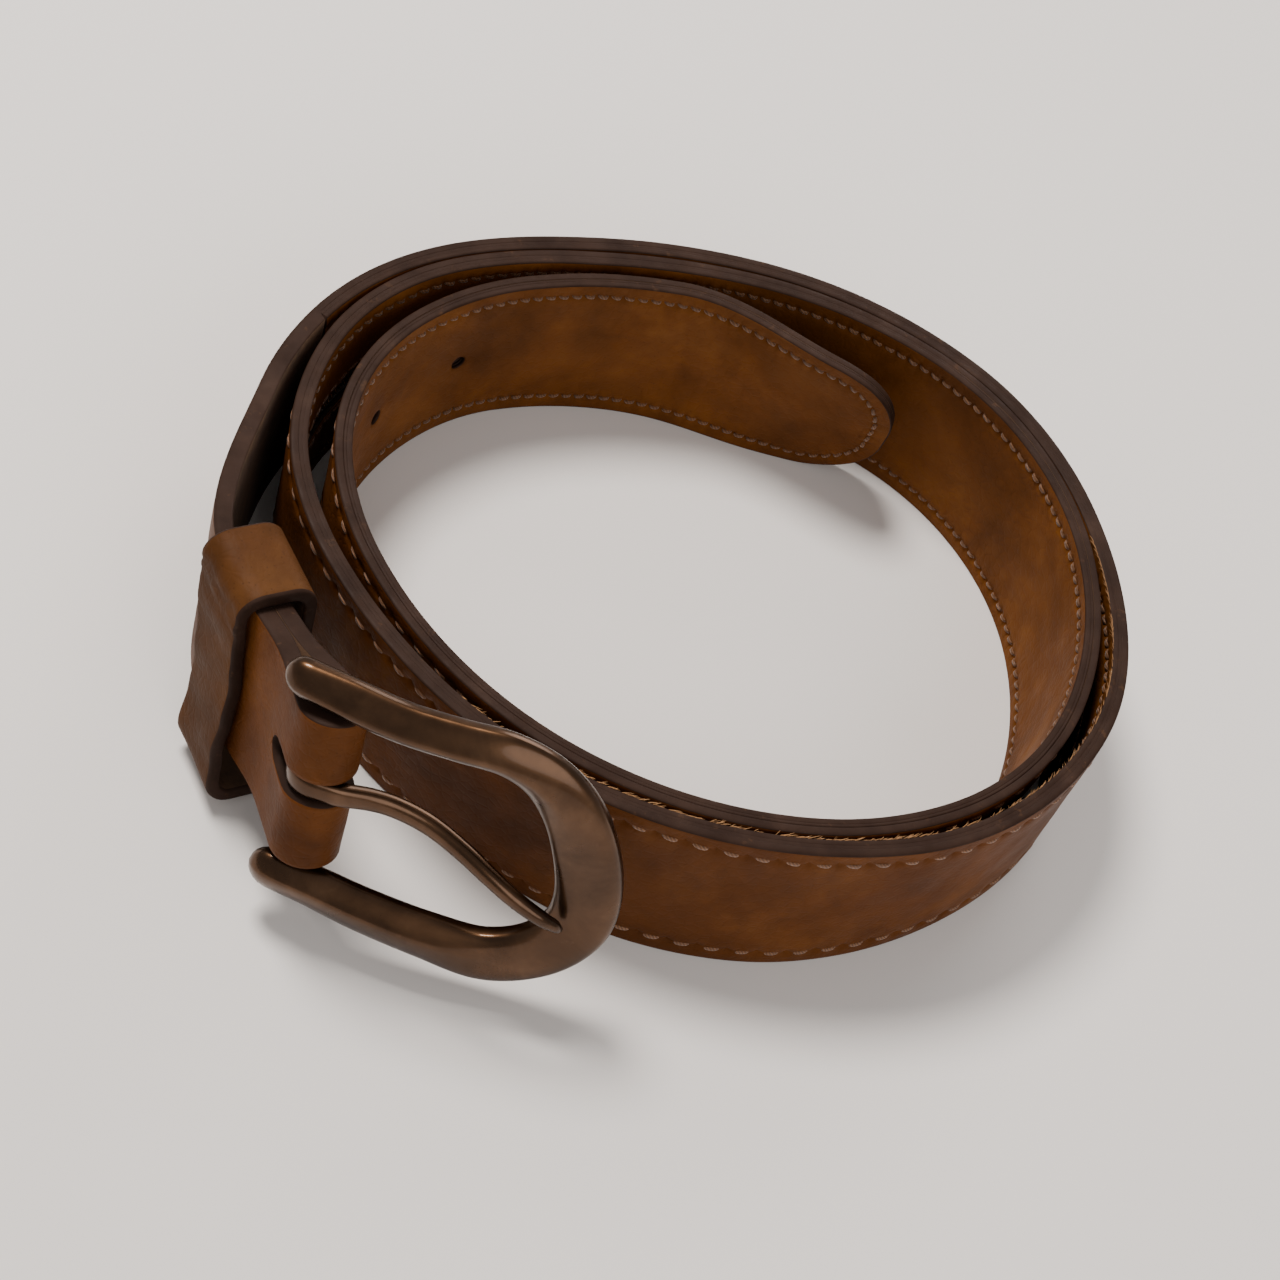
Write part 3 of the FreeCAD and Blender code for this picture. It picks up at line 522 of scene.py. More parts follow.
class Nodes:
    """Short ways to add shader nodes to one material."""

    def __init__(self, name):
        self.material = bpy.data.materials.new(name)
        self.material.use_nodes = True
        self.tree = self.material.node_tree
        self.shader = self.tree.nodes["Principled BSDF"]
        self.place = self.tree.nodes.new("ShaderNodeTexCoord").outputs["Object"]

    def add(self, kind, settings=None, **inputs):
        node = self.tree.nodes.new(kind)
        for key, value in (settings or {}).items():
            setattr(node, key, value)
        for key, value in inputs.items():
            socket = node.inputs[key.replace("_", " ")]
            if isinstance(value, bpy.types.NodeSocket):
                self.tree.links.new(value, socket)
            else:
                socket.default_value = value
        return node

    def stretched(self, scale):
        return self.add("ShaderNodeMapping", Vector=self.place, Scale=scale).outputs["Vector"]

    def noise(self, scale, detail=3.0, roughness=0.55, vector=None, distortion=0.0):
        return self.add("ShaderNodeTexNoise", Vector=vector or self.place, Scale=scale,
                        Detail=detail, Roughness=roughness,
                        Distortion=distortion).outputs["Fac"]

    def cells(self, scale, feature="F1"):
        return self.add("ShaderNodeTexVoronoi", {"feature": feature}, Vector=self.place,
                        Scale=scale).outputs["Distance"]

    def ramp(self, value, stops):
        node = self.add("ShaderNodeValToRGB", Fac=value)
        ramp = node.color_ramp
        while len(ramp.elements) < len(stops):
            ramp.elements.new(0.5)
        for element, (position, colour) in zip(ramp.elements, stops):
            element.position = position
            element.color = (*colour, 1)
        return node.outputs["Color"]

    def span(self, value, low, high, to_low=0.0, to_high=1.0):
        node = self.tree.nodes.new("ShaderNodeMapRange")
        self.tree.links.new(value, node.inputs["Value"])
        for key, number in (("From Min", low), ("From Max", high), ("To Min", to_low),
                            ("To Max", to_high)):
            node.inputs[key].default_value = number
        return node.outputs["Result"]

    def mix(self, factor, first, second):
        node = self.tree.nodes.new("ShaderNodeMix")
        node.data_type = "RGBA"
        for number, value in ((0, factor), (6, first), (7, second)):
            socket = node.inputs[number]
            if isinstance(value, bpy.types.NodeSocket):
                self.tree.links.new(value, socket)
            elif number == 0:
                socket.default_value = value
            else:
                socket.default_value = (*value, 1)
        return node.outputs[2]

    def math(self, operation, first, second):
        node = self.tree.nodes.new("ShaderNodeMath")
        node.operation = operation
        for socket, value in zip(node.inputs, (first, second)):
            if isinstance(value, bpy.types.NodeSocket):
                self.tree.links.new(value, socket)
            else:
                socket.default_value = value
        return node.outputs[0]

    def bump(self, height, strength, distance, normal=None):
        node = self.add("ShaderNodeBump", Height=height, Strength=strength, Distance=distance)
        if normal is not None:
            self.tree.links.new(normal, node.inputs["Normal"])
        return node.outputs["Normal"]

    def pointiness(self):
        return self.tree.nodes.new("ShaderNodeNewGeometry").outputs["Pointiness"]

    def finish(self, colour=None, roughness=None, normal=None, **constants):
        for key, value in (("Base Color", colour), ("Roughness", roughness), ("Normal", normal)):
            if isinstance(value, bpy.types.NodeSocket):
                self.tree.links.new(value, self.shader.inputs[key])
            elif value is not None:
                self.shader.inputs[key].default_value = value
        for key, value in constants.items():
            self.shader.inputs[key.replace("_", " ")].default_value = value
        return self.material


def leather(name, dark, mid, light, rough, grain, worn):
    """Brown leather: mottled dye, pores, fine grain, and paler rubbed patches."""
    n = Nodes(name)
    broad = n.noise(42, 4.0, 0.6, distortion=0.4)
    fine = n.noise(260, 4.0, 0.62)
    colour = n.ramp(broad, [(0.28, dark), (0.52, mid), (0.78, light)])
    colour = n.mix(n.span(fine, 0.35, 0.75, 0.0, 0.55), colour, dark)
    blotch = n.noise(14, 2.0, 0.5)
    colour = n.mix(n.span(blotch, 0.56, 0.72, 0.0, 0.5), colour, dark)
    rubbed = n.math("MULTIPLY", n.span(n.noise(65, 5.0, 0.7), 0.52, 0.74),
                    n.span(n.pointiness(), 0.505, 0.56, 0.15, 1.0))
    colour = n.mix(n.math("MULTIPLY", rubbed, worn), colour,
                   tuple(c * 2.0 + 0.012 for c in light))
    pores = n.span(n.cells(1150), 0.02, 0.2)
    colour = n.mix(n.math("MULTIPLY", n.math("SUBTRACT", 1.0, pores), 0.45), colour,
                   tuple(c * 0.45 for c in dark))
    pebbles = n.cells(620, "DISTANCE_TO_EDGE")
    normal = n.bump(n.span(pebbles, 0.0, 0.16), 0.28 * grain, 0.00018)
    normal = n.bump(pores, 0.35 * grain, 0.00012, normal)
    normal = n.bump(n.noise(900, 3.0, 0.6), 0.22 * grain, 0.0001, normal)
    roughness = n.span(n.noise(120, 4.0, 0.6), 0.3, 0.75, rough - 0.08, rough + 0.12)
    return n.finish(colour, roughness, normal, Specular_IOR_Level=0.07)


def painted_edge():
    """Edge paint: smooth dark grey-brown, with fine cracks and rubbed spots."""
    n = Nodes("edge_paint")
    colour = n.ramp(n.noise(130, 4.0, 0.6), [(0.3, (0.018, 0.0085, 0.0055)),
                                             (0.6, (0.03, 0.0155, 0.0105)),
                                             (0.85, (0.048, 0.026, 0.018))])
    rubbed = n.span(n.noise(420, 4.0, 0.7), 0.62, 0.74)
    colour = n.mix(n.math("MULTIPLY", rubbed, 0.4), colour, (0.1, 0.048, 0.022))
    normal = n.bump(n.noise(700, 3.0, 0.6), 0.4, 0.00012)
    normal = n.bump(n.noise(160, 3.0, 0.55), 0.5, 0.0003, normal)
    return n.finish(colour, n.span(n.noise(300), 0.3, 0.7, 0.5, 0.7), normal,
                    Specular_IOR_Level=0.08)


def raw_leather():
    """The hidden flesh side: matt and fibrous."""
    n = Nodes("raw_leather")
    colour = n.ramp(n.noise(300, 6.0, 0.7), [(0.3, (0.035, 0.016, 0.006)),
                                             (0.7, (0.085, 0.04, 0.016))])
    return n.finish(colour, 0.92, n.bump(n.noise(1500, 6.0, 0.75), 0.7, 0.0002))


def thread_material(name, dark, light):
    """Twisted thread: plies show as slanted bands."""
    n = Nodes(name)
    plies = n.add("ShaderNodeTexWave", {"wave_type": "BANDS", "bands_direction": "DIAGONAL"},
                  Vector=n.place, Scale=900.0, Distortion=1.5, Detail=2.0).outputs["Fac"]
    colour = n.mix(n.span(plies, 0.1, 0.9), dark, light)
    colour = n.mix(n.span(n.noise(90, 3.0), 0.4, 0.7, 0.0, 0.6), colour, dark)
    return n.finish(colour, 0.62, n.bump(plies, 0.5, 0.00012), Sheen_Weight=0.2)


def bronze():
    """Aged bronze: warm bright metal where rubbed, brown patina in the hollows."""
    n = Nodes("antique_bronze")
    cloud = n.noise(75, 5.0, 0.62, distortion=0.5)
    colour = n.ramp(cloud, [(0.3, (0.04, 0.019, 0.0085)), (0.55, (0.078, 0.039, 0.019)),
                            (0.8, (0.13, 0.07, 0.037))])
    hollow = n.span(n.pointiness(), 0.44, 0.5, 1.0, 0.0)
    patina = n.math("MAXIMUM", n.math("MULTIPLY", hollow, 0.85),
                    n.span(n.noise(38, 4.0, 0.6), 0.6, 0.72, 0.0, 0.45))
    colour = n.mix(patina, colour, (0.022, 0.0105, 0.005))
    speck = n.span(n.noise(520, 4.0, 0.7), 0.64, 0.72)
    colour = n.mix(n.math("MULTIPLY", speck, 0.5), colour, (0.09, 0.045, 0.025))
    fine = n.noise(1500, 3.0, 0.6, n.stretched((1, 1, 0.15)))
    normal = n.bump(n.noise(210, 3.0, 0.5), 0.12, 0.0002)
    normal = n.bump(fine, 0.1, 0.00008, normal)
    roughness = n.span(n.noise(140, 4.0, 0.6), 0.3, 0.75, 0.24, 0.42)
    return n.finish(colour, roughness, normal, Metallic=1.0, Coat_Weight=0.28, Coat_Roughness=0.1)


def metal(name, colour, rough):
    n = Nodes(name)
    tone = n.ramp(n.noise(240, 4.0, 0.6), [(0.3, tuple(c * 0.55 for c in colour)), (0.7, colour)])
    normal = n.bump(n.noise(900, 2.0, 0.5), 0.15, 0.00008)
    return n.finish(tone, n.span(n.noise(300), 0.3, 0.7, rough - 0.07, rough + 0.12), normal,
                    Metallic=1.0)


def woven_tape():
    """Zip tape: a fine herringbone of brown threads."""
    n = Nodes("zip_tape_weave")
    warp = n.add("ShaderNodeTexWave", {"wave_type": "BANDS", "bands_direction": "Z"},
                 Vector=n.place, Scale=420.0, Distortion=0.6).outputs["Fac"]
    weft = n.add("ShaderNodeTexWave", {"wave_type": "BANDS", "bands_direction": "DIAGONAL"},
                 Vector=n.place, Scale=520.0, Distortion=0.8).outputs["Fac"]
    weave = n.math("MULTIPLY", warp, weft)
    colour = n.ramp(weave, [(0.0, (0.018, 0.01, 0.006)), (0.8, (0.07, 0.04, 0.024))])
    return n.finish(colour, 0.85, n.bump(weave, 0.6, 0.00015), Sheen_Weight=0.25)


FACE_LEATHER = leather("leather_face", (0.047, 0.0138, 0.0024), (0.105, 0.032, 0.005),
                       (0.16, 0.055, 0.0105), 0.5, 0.55, 0.3)
LINING_LEATHER = leather("leather_lining", (0.058, 0.018, 0.0026), (0.132, 0.043, 0.0062),
                         (0.2, 0.074, 0.0145), 0.6, 0.75, 0.6)
KEEPER_LEATHER = leather("leather_keeper", (0.04, 0.0145, 0.0038), (0.071, 0.0258, 0.0066),
                         (0.1, 0.04, 0.0115), 0.55, 0.6, 0.3)
EDGE = painted_edge()
RAW = raw_leather()
THREAD = thread_material("seam_thread", (0.1, 0.038, 0.012), (0.23, 0.1, 0.037))
LINING_THREAD = thread_material("lining_thread", (0.07, 0.026, 0.006), (0.17, 0.068, 0.018))
BRONZE = bronze()
ZIP_BRASS = metal("zip_brass", (0.34, 0.2, 0.09), 0.36)
STEEL = metal("staple_steel_worn", (0.42, 0.39, 0.36), 0.38)
TAPE = woven_tape()
COIL_BRONZE = metal("zip_coil_bronze", (0.28, 0.16, 0.08), 0.42)
FIBRE = Nodes("leather_fibre").finish((0.3, 0.15, 0.06, 1), 0.9)

# ---------------------------------------------------------------- the strap


def leather_back_level(along):
    return LEATHER_BACK + (-FACE - LEATHER_BACK) * smoothstep(LINING_END + 0.2, LINING_END + 0.5,
                                                              along)


layer("belt_leather", level(FACE), leather_back_level, MARKS["end"], face_relief,
      [(*MARKS["slot"], SLOT_WIDTH / 2, SLOT_SHIFT)], [FACE_LEATHER, EDGE, RAW],
      replaces=["outer_leather"], finish="leather")
layer("belt_lining", level(-FACE), level(CORE_BACK), LINING_END, lining_relief,
      [(ZIP_START, ZIP_END, ZIP_SLOT / 2, 0.0)], [LINING_LEATHER, EDGE, RAW],
      replaces=["strap_lining"], finish="leather")


def no_relief(along, height, inset, seam):
    return np.zeros(np.shape(along))


def strip(places, inner, outer, low, high):
    """A plain strip that follows the strap."""
    corners = ((outer, low), (outer, high), (inner, high), (inner, low))
    return sweep(np.array([[place(along, across, height) for across, height in corners]
                           for along in places]))


def filler_band(name, start, end, low, high, replaces):
    """Filler between the leathers, set back a little from the painted edge."""
    points, faces = strip(np.append(np.arange(start, end, 2.4), end), CORE_BACK, LEATHER_BACK,
                          low, high)
    shape(name, points, faces, "strap", [EDGE], smooth=False, replaces=replaces, finish="filler")


# the filler under the tip and the belt holes is cut to the same outline
layer("filler_tip_sheet", level(LEATHER_BACK - 0.005), level(CORE_BACK + 0.005), POCKET_START,
      no_relief, [], [RAW, EDGE, RAW], replaces=["filler_tip"], finish="filler")
filler_band("filler_upper_strip", POCKET_START, POCKET_END, 25.0, 29.99, ["filler_upper_edge"])
filler_band("filler_lower_strip", POCKET_START, POCKET_END, 0.01, 5.0, ["filler_lower_edge"])
filler_band("filler_end_sheet", POCKET_END, LINING_END, 0.01, 29.99, ["filler_buckle_end"])

# ---------------------------------------------------------------- stitches


def stitch_row(side, face, end, pitch, share, radius, sunk, first):
    """Thread between needle holes along one edge: each stitch is a small arched capsule."""
    parts = []
    sign = 1 if face > 0 else -1
    angles = np.arange(6) / 6 * 2 * math.pi
    for number in range(first, int((seam_of(end) - STITCH / 2) / pitch)):
        middle_seam = STITCH / 2 + (number + 0.5) * pitch
        rings = []
        for t in (0.0, 0.06, 0.2, 0.4, 0.6, 0.8, 0.94, 1.0):
            seam = middle_seam + (t - 0.5) * share * pitch
            arch = 1 - abs(2 * t - 1) ** 3
            middle = face + sign * (-0.45 + (0.45 - sunk) * arch)
            thick = radius * (0.35 + 0.65 * math.sqrt(max(0.0, 1 - (2 * t - 1) ** 4)))
            slant = 0.3 * (t - 0.5) * sign
            seam_along, half, in_along, in_up = rim(abs(seam))
            insets = SEAM_INSET + slant + thick * np.cos(angles)
            along = seam_along + insets * in_along
            height = (half + insets * in_up) * side * (1 if seam >= 0 else -1)
            rings.append(place(along, middle + sign * thick * 0.75 * np.sin(angles),
                               height + WIDTH / 2))
        parts.append(sweep(np.array(rings)))
    return joined(parts)


for row_name, side in (("upper", 1), ("lower", -1)):
    first = -1 if side > 0 else 0
    points, faces = stitch_row(side, FACE, MARKS["coil"] - 3, STITCH, 0.56, 0.4, 0.1, first)
    shape("stitches_face_" + row_name, points, faces, "strap", [THREAD],
          replaces=["seam_face_" + row_name], finish="thread")
    points, faces = stitch_row(side, -FACE, LINING_END - 2, STITCH / 2, 0.78, 0.42, 0.16,
                               2 * first)
    shape("stitches_lining_" + row_name, points, faces, "strap", [LINING_THREAD],
          replaces=["seam_lining_" + row_name], finish="thread")


def short_stitches(count, start, pitch, gap, radius, section):
    """A straight row of arched stitches; section places the ring (across, up) of one station."""
    parts, angles = [], np.arange(6) / 6 * 2 * math.pi
    for number in range(count):
        rings = []
        for t in (0.0, 0.15, 0.5, 0.85, 1.0):
            arch = 1 - (2 * t - 1) ** 4
            size = radius * (0.4 + 0.6 * arch)
            rings.append(section(start + (number + gap + (1 - 2 * gap) * t) * pitch, 1 - arch,
                                 size * 0.7 * np.sin(angles), size * np.cos(angles)))
        parts.append(sweep(np.array(rings)))
    return parts


for row_name, side in (("upper", 1), ("lower", -1)):
    seam_height = WIDTH / 2 + side * (ZIP_SLOT / 2 + 1.2)
    points, faces = joined(short_stitches(
        int((ZIP_END - ZIP_START) / ZIP_STITCH), ZIP_START, ZIP_STITCH, 0.05, 0.28,
        lambda along, dip, across, up: place(along, -FACE - 0.05 + 0.12 * dip + across,
                                             seam_height + up)))
    shape("zip_stitches_" + row_name, points, faces, "strap", [THREAD],
          replaces=["zip_thread_" + row_name], finish="thread")


def coil_of_zip(side):
    """Nylon coil at a tape's edge: a row of small upright loops that reach the middle."""
    turn, parts = np.arange(10) / 10 * 2 * math.pi, []
    pitch, middle, deep = 1.1, CORE_BACK - 0.12, 0.33
    for number in range(int((ZIP_END - ZIP_START - 5) / pitch)):
        along = ZIP_START + 2.5 + (number + (0.5 if side > 0 else 0.0)) * pitch
        rings = []
        for t in turn:
            height = WIDTH / 2 + side * (0.55 + 0.5 * math.cos(t))
            across = middle + deep * math.sin(t)
            rings.append([place(along + 0.2 * math.cos(a),
                                across + 0.17 * math.sin(a) * math.sin(t),
                                height + 0.17 * math.sin(a) * math.cos(t))
                          for a in (0, math.pi / 2, math.pi, 1.5 * math.pi)])
        parts.append(sweep(np.array(rings), closed=True))
    return joined(parts)


def zip_parts():
    tape_start, tape_end = ZIP_START - 4, ZIP_END + 4
    tape_places = np.linspace(tape_start, tape_end, int((tape_end - tape_start) / 1.2))
    for row_name, side in (("upper", 1), ("lower", -1)):
        near, far = WIDTH / 2 + side * 0.92, WIDTH / 2 + side * 7.9
        points, faces = strip(tape_places, CORE_BACK + 0.02, CORE_BACK + 0.38, min(near, far),
                              max(near, far))
        shape("zip_weave_" + row_name, points, faces, "strap", [TAPE], smooth=False,
              replaces=["zip_tape_" + row_name], finish="zip_tape")
        points, faces = coil_of_zip(side)
        shape("zip_loops_" + row_name, points, faces, "strap", [COIL_BRONZE],
              replaces=["zip_coil_" + row_name], finish="zip_coil")
    for stop_name, start in (("top_stop", ZIP_START + 0.9), ("bottom_stop", ZIP_END - 1.9)):
        points, faces = strip(np.linspace(start, start + 1, 3), CORE_BACK - 0.9, CORE_BACK,
                              WIDTH / 2 - 1.2, WIDTH / 2 + 1.2)
        shape("zip_" + stop_name + "_block", points, faces, "strap", [ZIP_BRASS], smooth=False,
              replaces=["zip_" + stop_name], finish="zip_metal")


zip_parts()


def rim_fibres():
    """Loose fibres that stand off the inner rim of the outer turn's upper edge."""
    parts = []
    for along in np.sort(random.uniform(496, 640, 300)):
        length, drift = random.uniform(0.5, 1.9), random.uniform(-0.35, 0.5)
        curl, fat = random.uniform(-0.3, 0.3), random.uniform(0.05, 0.1)
        rings = []
        for t, size in ((0.0, 1.0), (0.35, 0.9), (0.7, 0.65), (1.0, 0.25)):
            at = along + length * t
            across = -FACE + 0.12 - 0.3 * t - curl * t * t
            height = WIDTH - 0.12 + drift * t + 0.2 * t * (1 - t)
            rings.append([place(at, across + fat * size * math.cos(a),
                                height + fat * size * math.sin(a)) for a in (0, 2.1, 4.2)])
        parts.append(sweep(np.array(rings)))
    points, faces = joined(parts)
    shape("rim_fibres", points, faces, "strap", [FIBRE], finish="leather")


rim_fibres()


def turnback_stitches():
    """Two short rows across the fold, seen on both of its outer sides."""
    parts = []
    for x in (-20.2, -22.4):
        for face in (-1, 1):
            parts += short_stitches(
                8, -11, 2.75, 0.06, 0.3,
                lambda z, dip, across, up, x=x, face=face: end_point(
                    x + up, face * (LAYER_GAP + 2 * FACE - 0.15 * dip) + across, z + 0 * up))
    points, faces = joined(parts)
    shape("turnback_stitches", points, faces, "strap", [THREAD], replaces=["turnback_seam"],
          finish="thread")


turnback_stitches()

# ---------------------------------------------------------------- buckle


def closed_section(angles, half_wide, half_thick, power):
    """A rounded section: power 2 is an ellipse, and more is squarer."""
    c, s = np.cos(angles), np.sin(angles)
    return (half_wide * np.sign(c) * abs(c) ** (2 / power),
            half_thick * np.sign(s) * abs(s) ** (2 / power))


def spline(knots, count):
    """Smooth values through given knots (Catmull-Rom, ends held)."""
    knots = np.asarray(knots, float)
    padded = np.concatenate([2 * knots[:1] - knots[1:2], knots, 2 * knots[-1:] - knots[-2:-1]])
    at = np.linspace(0, len(knots) - 1, count)
    cell = np.minimum(at.astype(int), len(knots) - 2)
    t = (at - cell)[:, None]
    a, b, c, d = (padded[cell + k] for k in range(4))
    return 0.5 * (2 * b + (c - a) * t + (2 * a - 5 * b + 4 * c - d) * t ** 2
                  + (3 * b - a - 3 * c + d) * t ** 3)


def frame_level(x):
    return 3.0 * (1 - ((x - 18.0) / 27.0) ** 2)


# middle line of the horseshoe from the upper arm round the front to the lower arm:
# x, y, width, thickness, and how far the outer side is ridged (1) or flat (0)
FRAME_KNOTS = [
    (-4.0, 17.8, 5.6, 4.8, 0.8), (2.0, 17.0, 6.2, 5.0, 1.0), (9.5, 16.1, 6.2, 5.0, 1.0),
    (17.0, 15.9, 6.4, 5.0, 1.0), (23.4, 15.6, 6.8, 5.0, 1.0), (29.0, 13.0, 7.6, 4.9, 0.85),
    (33.5, 7.9, 8.5, 4.6, 0.35), (36.8, 0.6, 9.1, 4.2, 0.0), (38.6, -7.2, 9.2, 4.1, 0.0),
    (38.0, -13.6, 9.1, 4.1, 0.0), (34.0, -18.8, 9.1, 4.2, 0.0), (27.3, -21.5, 8.8, 4.5, 0.1),
    (19.0, -21.0, 8.3, 5.0, 0.9), (9.5, -19.6, 7.7, 5.0, 1.0), (2.6, -18.4, 7.1, 5.0, 1.0),
    (-3.6, -17.9, 6.3, 4.8, 0.8),
]


def frame_section(angles, half_wide, half_thick, ridged):
    """Cast section: flat or softly ridged outside, with the ridge nearer the opening."""
    c, s = np.cos(angles), np.sin(angles)
    peak = 0.22
    slope = np.where(c > peak, (c - peak) / (1 - peak), (peak - c) / (1 + peak))
    roof = 0.45 * np.sqrt(1 - c * c) + 0.55 * (1 - slope ** 1.35)
    flat = (1 - abs(c) ** 3.4) ** (1 / 3.4)
    outside = ridged * roof + (1 - ridged) * flat
    inside = -(1 - abs(c) ** 2.6) ** (1 / 2.6)
    return half_wide * c, half_thick * np.where(s >= 0, outside, inside * 0.9)


def buckle_frame():
    knots = spline(FRAME_KNOTS, 260)
    x, y, wide, thick, ridged = knots.T
    ridged = np.clip(ridged, 0, 1)
    slope = np.stack([np.gradient(x), np.gradient(y)], 1)
    slope /= np.linalg.norm(slope, axis=1)[:, None]
    angles = np.linspace(0, 2 * math.pi, 56, endpoint=False)

    def ring(px, py, place_on, way, shrink=1.0):
        u, v = frame_section(angles, wide[place_on] / 2 * shrink, thick[place_on] / 2 * shrink,
                             ridged[place_on])
        return buckle_point(px + u * way[1], py - u * way[0], frame_level(px) + v)

    def cap(end, sign):
        """Rings that round off an arm's free end."""
        way, reach = slope[end], wide[end] / 2
        return [ring(x[end] + sign * way[0] * reach * t, y[end] + sign * way[1] * reach * t, end,
                     way, math.sqrt(1 - t * t)) for t in (0.999, 0.93, 0.8, 0.6, 0.35)]
    rings = cap(0, -1) + [ring(x[k], y[k], k, slope[k]) for k in range(len(x))]
    rings += cap(len(x) - 1, 1)[::-1]
    turn = np.linspace(0, 2 * math.pi, 24, endpoint=False)
    bar_rings = [buckle_point(BAR_RADIUS * np.cos(turn), y_on_bar + 0 * turn,
                              BAR_RADIUS * np.sin(turn))
                 for y_on_bar in np.linspace(-BAR_HALF, BAR_HALF, 12)]
    points, faces = joined([sweep(np.array(rings)), sweep(np.array(bar_rings))])
    shape("buckle_casting", points, faces, "frame", [BRONZE], replaces=["buckle_frame"],
          finish="antique_bronze")


buckle_frame()


def buckle_prong():
    """A flattened strip rolled round the bar, then a shaft that rests on the frame's front."""
    loop_radius = 3.22
    angles = np.radians(np.linspace(-38, -270, 34))
    route = [(loop_radius * math.cos(a), 0.0, loop_radius * math.sin(a),
              math.cos(a), math.sin(a)) for a in angles]
    shaft = spline([(0.0, loop_radius), (3.4, 2.9), (7.5, 1.7), (11.3, 1.2), (16.0, 1.5),
                    (21.0, 2.9), (25.0, 4.3), (29.0, 5.3), (33.0, 5.35), (36.4, 4.5)], 60)[1:]
    slope = np.gradient(shaft, axis=0)
    slope /= np.linalg.norm(slope, axis=1)[:, None]
    for (x, z), (dx, dz) in zip(shaft, slope):
        route.append((x, -0.14 * x - 0.0078 * max(0.0, x - 5) ** 2, z, -dz, dx))
    route = np.array(route)
    steps = np.linalg.norm(np.diff(route[:, :3], axis=0), axis=1)
    share = np.concatenate([[0], np.cumsum(steps)]) / steps.sum()
    around = np.linspace(0, 2 * math.pi, 24, endpoint=False)
    wide = np.interp(share, [0, 0.01, 0.04, 0.3, 0.4, 0.7, 0.93, 0.985, 1.0],
                     [1.0, 2.4, 3.4, 3.5, 3.3, 3.0, 2.5, 1.9, 0.6])
    thick = np.interp(share, [0, 0.01, 0.04, 0.3, 0.4, 0.7, 0.93, 0.985, 1.0],
                      [0.8, 1.8, 2.25, 2.3, 2.5, 2.5, 2.1, 1.6, 0.5])
    power = np.interp(share, [0, 0.3, 0.42, 1], [3.4, 3.0, 2.3, 2.2])
    rings = []
    for (x, y, z, nx, nz), w, h, e in zip(route, wide, thick, power):
        u, v = closed_section(around, w / 2, h / 2, e)
        rings.append(buckle_point(x + v * nx, FOLD_SHIFT + SLOT_SHIFT + y + u, z + v * nz))
    points, faces = sweep(np.array(rings))
    shape("buckle_tongue", points, faces, "prong", [BRONZE], replaces=["buckle_prong"],
          finish="antique_bronze")


buckle_prong()

# ---------------------------------------------------------------- keeper


def keeper():
    """A soft leather loop: its mouths follow the bar's slant and its walls run back level."""
    front, back, top, bottom = -3.3, 4.6, 13.8, -20.8
    corner, path = 1.9, []
    for cy, cz, start in ((back - corner, top - corner, 0), (front + corner, top - corner, 90),
                          (front + corner, bottom + corner, 180),
                          (back - corner, bottom + corner, 270)):
        for turn in np.radians(start + np.linspace(0, 90, 9)):
            path.append((cy + corner * math.cos(turn), cz + corner * math.sin(turn),
                         math.cos(turn), math.sin(turn)))
    outline = []
    for first, second in zip(path, path[1:] + path[:1]):
        gap = math.hypot(second[0] - first[0], second[1] - first[1])
        steps = max(1, int(gap / 0.8))
        outline += [np.array(first) * (1 - k / steps) + np.array(second) * (k / steps)
                    for k in range(steps)]
    heading = math.radians(END_HEADING)
    level_back = -np.array([math.cos(heading), math.sin(heading), 0])
    lengths = np.array([0.0, 0.12, 0.4, 1.0, 1.9, 2.9, 3.9, 4.9, 5.9, 6.9, 7.9, 8.9, 9.9, 10.8,
                        11.4, 11.68, 11.8])
    rounding = np.array([0.34, 0.14, 0.0] + [0.0] * 11 + [0.0, 0.14, 0.34])
    wall_rows = ([(r, i, 1) for r, i in zip(lengths, rounding)]
                 + [(r, i, 0) for r, i in zip(lengths[::-1], rounding[::-1])])
    rings = []
    for y, z, ny, nz in outline:
        way = np.array([ny, nz]) / math.hypot(ny, nz)
        outer_side = smoothstep(0.1, 1, -ny)
        share = (z - bottom) / (top - bottom)
        ring = []
        for reach, inset, surface in wall_rows:
            rear = reach / KEEPER_LENGTH
            hollow = (1.25 if surface else 0.2) * rear * math.exp(-((share - 0.28) / 0.22) ** 2)
            swell = outer_side * (0.25 * (1 - rear) * math.exp(-((share - 0.24) / 0.1) ** 2)
                                  - 0.42 * math.exp(-((share - 0.62) / 0.2) ** 2)
                                  - hollow + 0.1 * math.sin(share * 29.0 + reach * 0.5))
            crease = 0.0
            for middle, wide, deep in ((0.93, 0.018, 0.3), (0.86, 0.022, 0.24), (0.71, 0.03, 0.12)):
                drift = middle + 0.012 * math.sin(reach * 0.9 + middle * 20)
                crease += deep * math.exp(-((share - drift) / wide) ** 2)
            offset = KEEPER_WALL - inset if surface else inset
            grow = offset + swell - crease * outer_side * surface
            spot = end_point(KEEPER_MOUTH, y + way[0] * grow, z + way[1] * offset)
            ring.append(spot + level_back * (reach + 0.35 * outer_side * math.sin(share * 9)))
        rings.append(ring)
    points, faces = sweep(np.array(rings), closed=True)
    count = len(lengths)
    edges = {0, 1, count - 3, count - 2, count - 1, count, count + 1, 2 * count - 3, 2 * count - 2,
             2 * count - 1}
    slots = [1 if j in edges else 0 if j < count else 2
             for _ in outline for j in range(2 * count)]
    shape("keeper_loop_leather", points, faces, "keeper_loop", [KEEPER_LEATHER, EDGE, RAW], slots,
          replaces=["keeper"], finish="leather")


keeper()

# ---------------------------------------------------------------- finishes for CAD nodes


def finish_node(name, material):
    mesh = nodes[name].data
    mesh.materials.clear()
    mesh.materials.append(material)


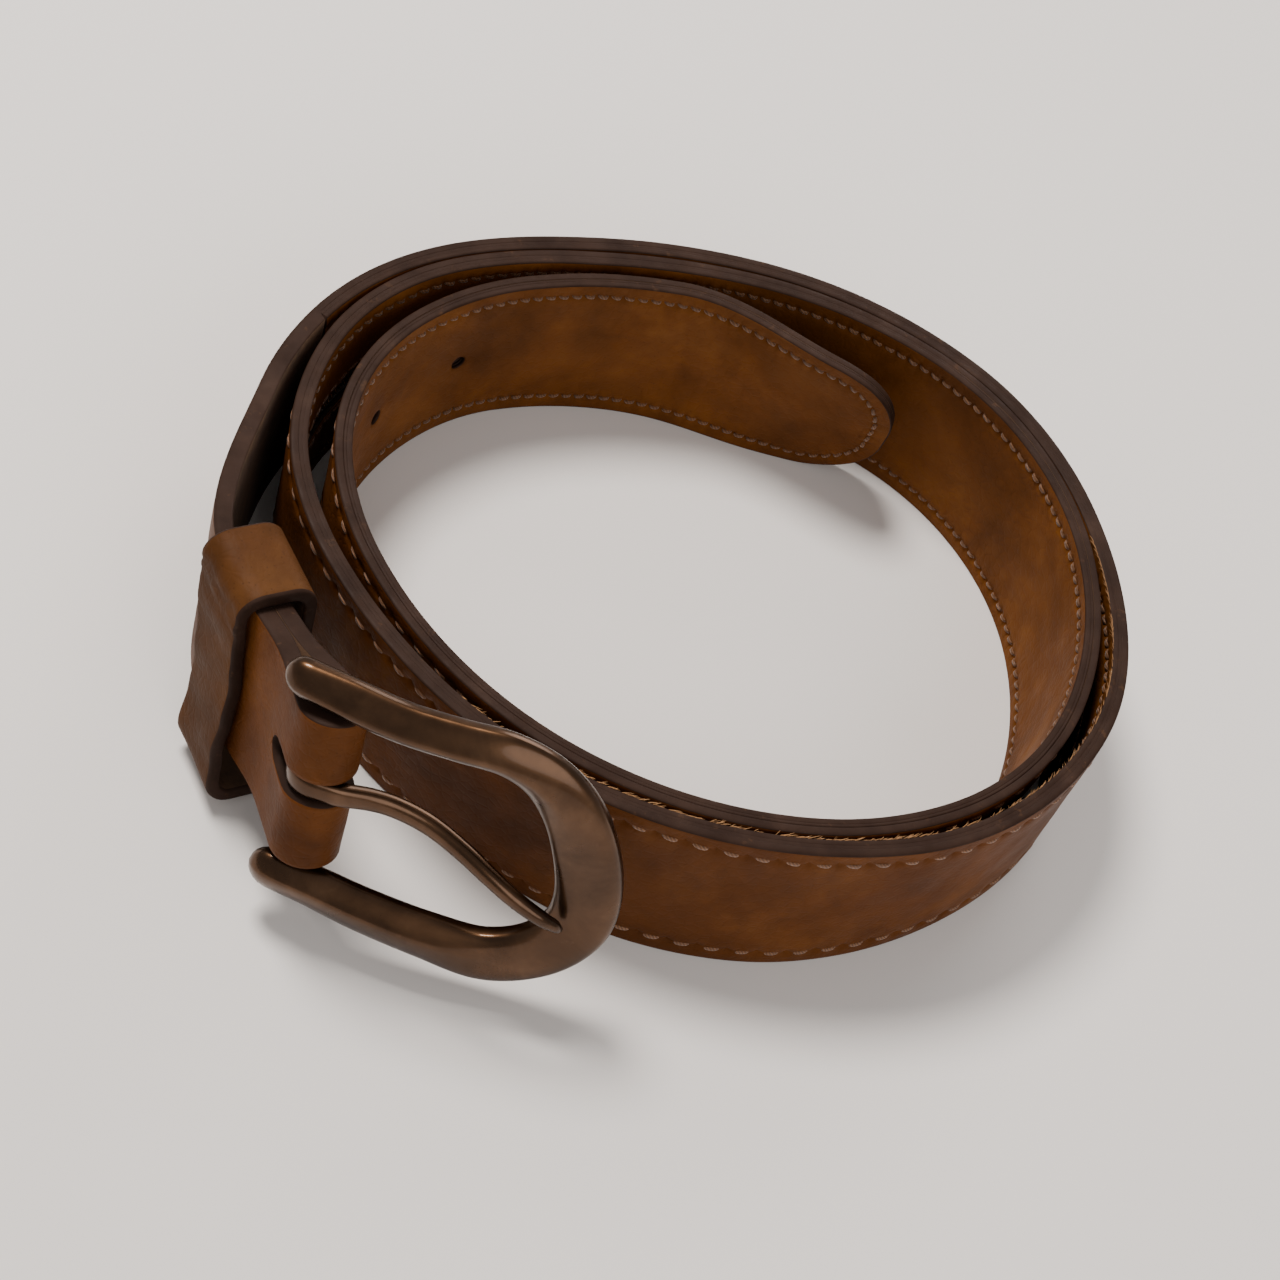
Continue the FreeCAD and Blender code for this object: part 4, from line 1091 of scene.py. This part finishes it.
finish_node("keeper_staple", STEEL)
for name in ("zip_slider", "zip_pull"):
    finish_node(name, ZIP_BRASS)

# ---------------------------------------------------------------- floor, light and camera


def floor():
    bpy.ops.mesh.primitive_plane_add(size=6.0, location=(0, 0, 0))
    plane = bpy.context.object
    plane.name = "floor"
    material = bpy.data.materials.new("floor_pale")
    material.use_nodes = True
    shader = material.node_tree.nodes["Principled BSDF"]
    shader.inputs["Base Color"].default_value = (0.78, 0.74, 0.71, 1)
    shader.inputs["Roughness"].default_value = 0.9
    plane.data.materials.append(material)


def area_light(name, position, target, size, power, colour):
    data = bpy.data.lights.new(name, "AREA")
    data.shape, data.size, data.energy, data.color = "DISK", size, power, colour
    light = bpy.data.objects.new(name, data)
    light.location = position
    way = Vector(target) - Vector(position)
    light.rotation_euler = way.to_track_quat("-Z", "Y").to_euler()
    bpy.context.scene.collection.objects.link(light)


def world():
    scene_world = bpy.data.worlds.new("studio")
    bpy.context.scene.world = scene_world
    scene_world.use_nodes = True
    background = scene_world.node_tree.nodes["Background"]
    background.inputs["Color"].default_value = (0.95, 0.93, 0.92, 1)
    background.inputs["Strength"].default_value = 0.42


def camera():
    pitch, roll = math.radians(53.93), math.radians(26.34)
    ahead = Vector((0, math.cos(pitch), -math.sin(pitch)))
    level_up = Vector((0, math.sin(pitch), math.cos(pitch)))
    right = Vector((math.cos(roll), 0, 0)) + level_up * math.sin(roll)
    up = level_up * math.cos(roll) - Vector((math.sin(roll), 0, 0))
    data = bpy.data.cameras.new("camera")
    data.lens, data.sensor_width, data.clip_start = 70.31, 36.0, 0.01
    obj = bpy.data.objects.new("camera", data)
    obj.matrix_world = Matrix((
        (right.x, up.x, -ahead.x, -0.00245), (right.y, up.y, -ahead.y, -0.22085),
        (right.z, up.z, -ahead.z, 0.3125), (0, 0, 0, 1)))
    bpy.context.scene.collection.objects.link(obj)
    bpy.context.scene.camera = obj


floor()
world()
area_light("key", (-0.35, 0.15, 0.75), (0, 0, 0.01), 0.26, 9.5, (1.0, 0.95, 0.9))
area_light("fill", (0.5, -0.55, 0.5), (0, 0, 0.02), 0.7, 3.5, (1.0, 0.97, 0.95))
area_light("back", (0.1, 0.8, 0.4), (0, 0, 0.02), 0.5, 3.0, (1.0, 0.96, 0.93))
camera()
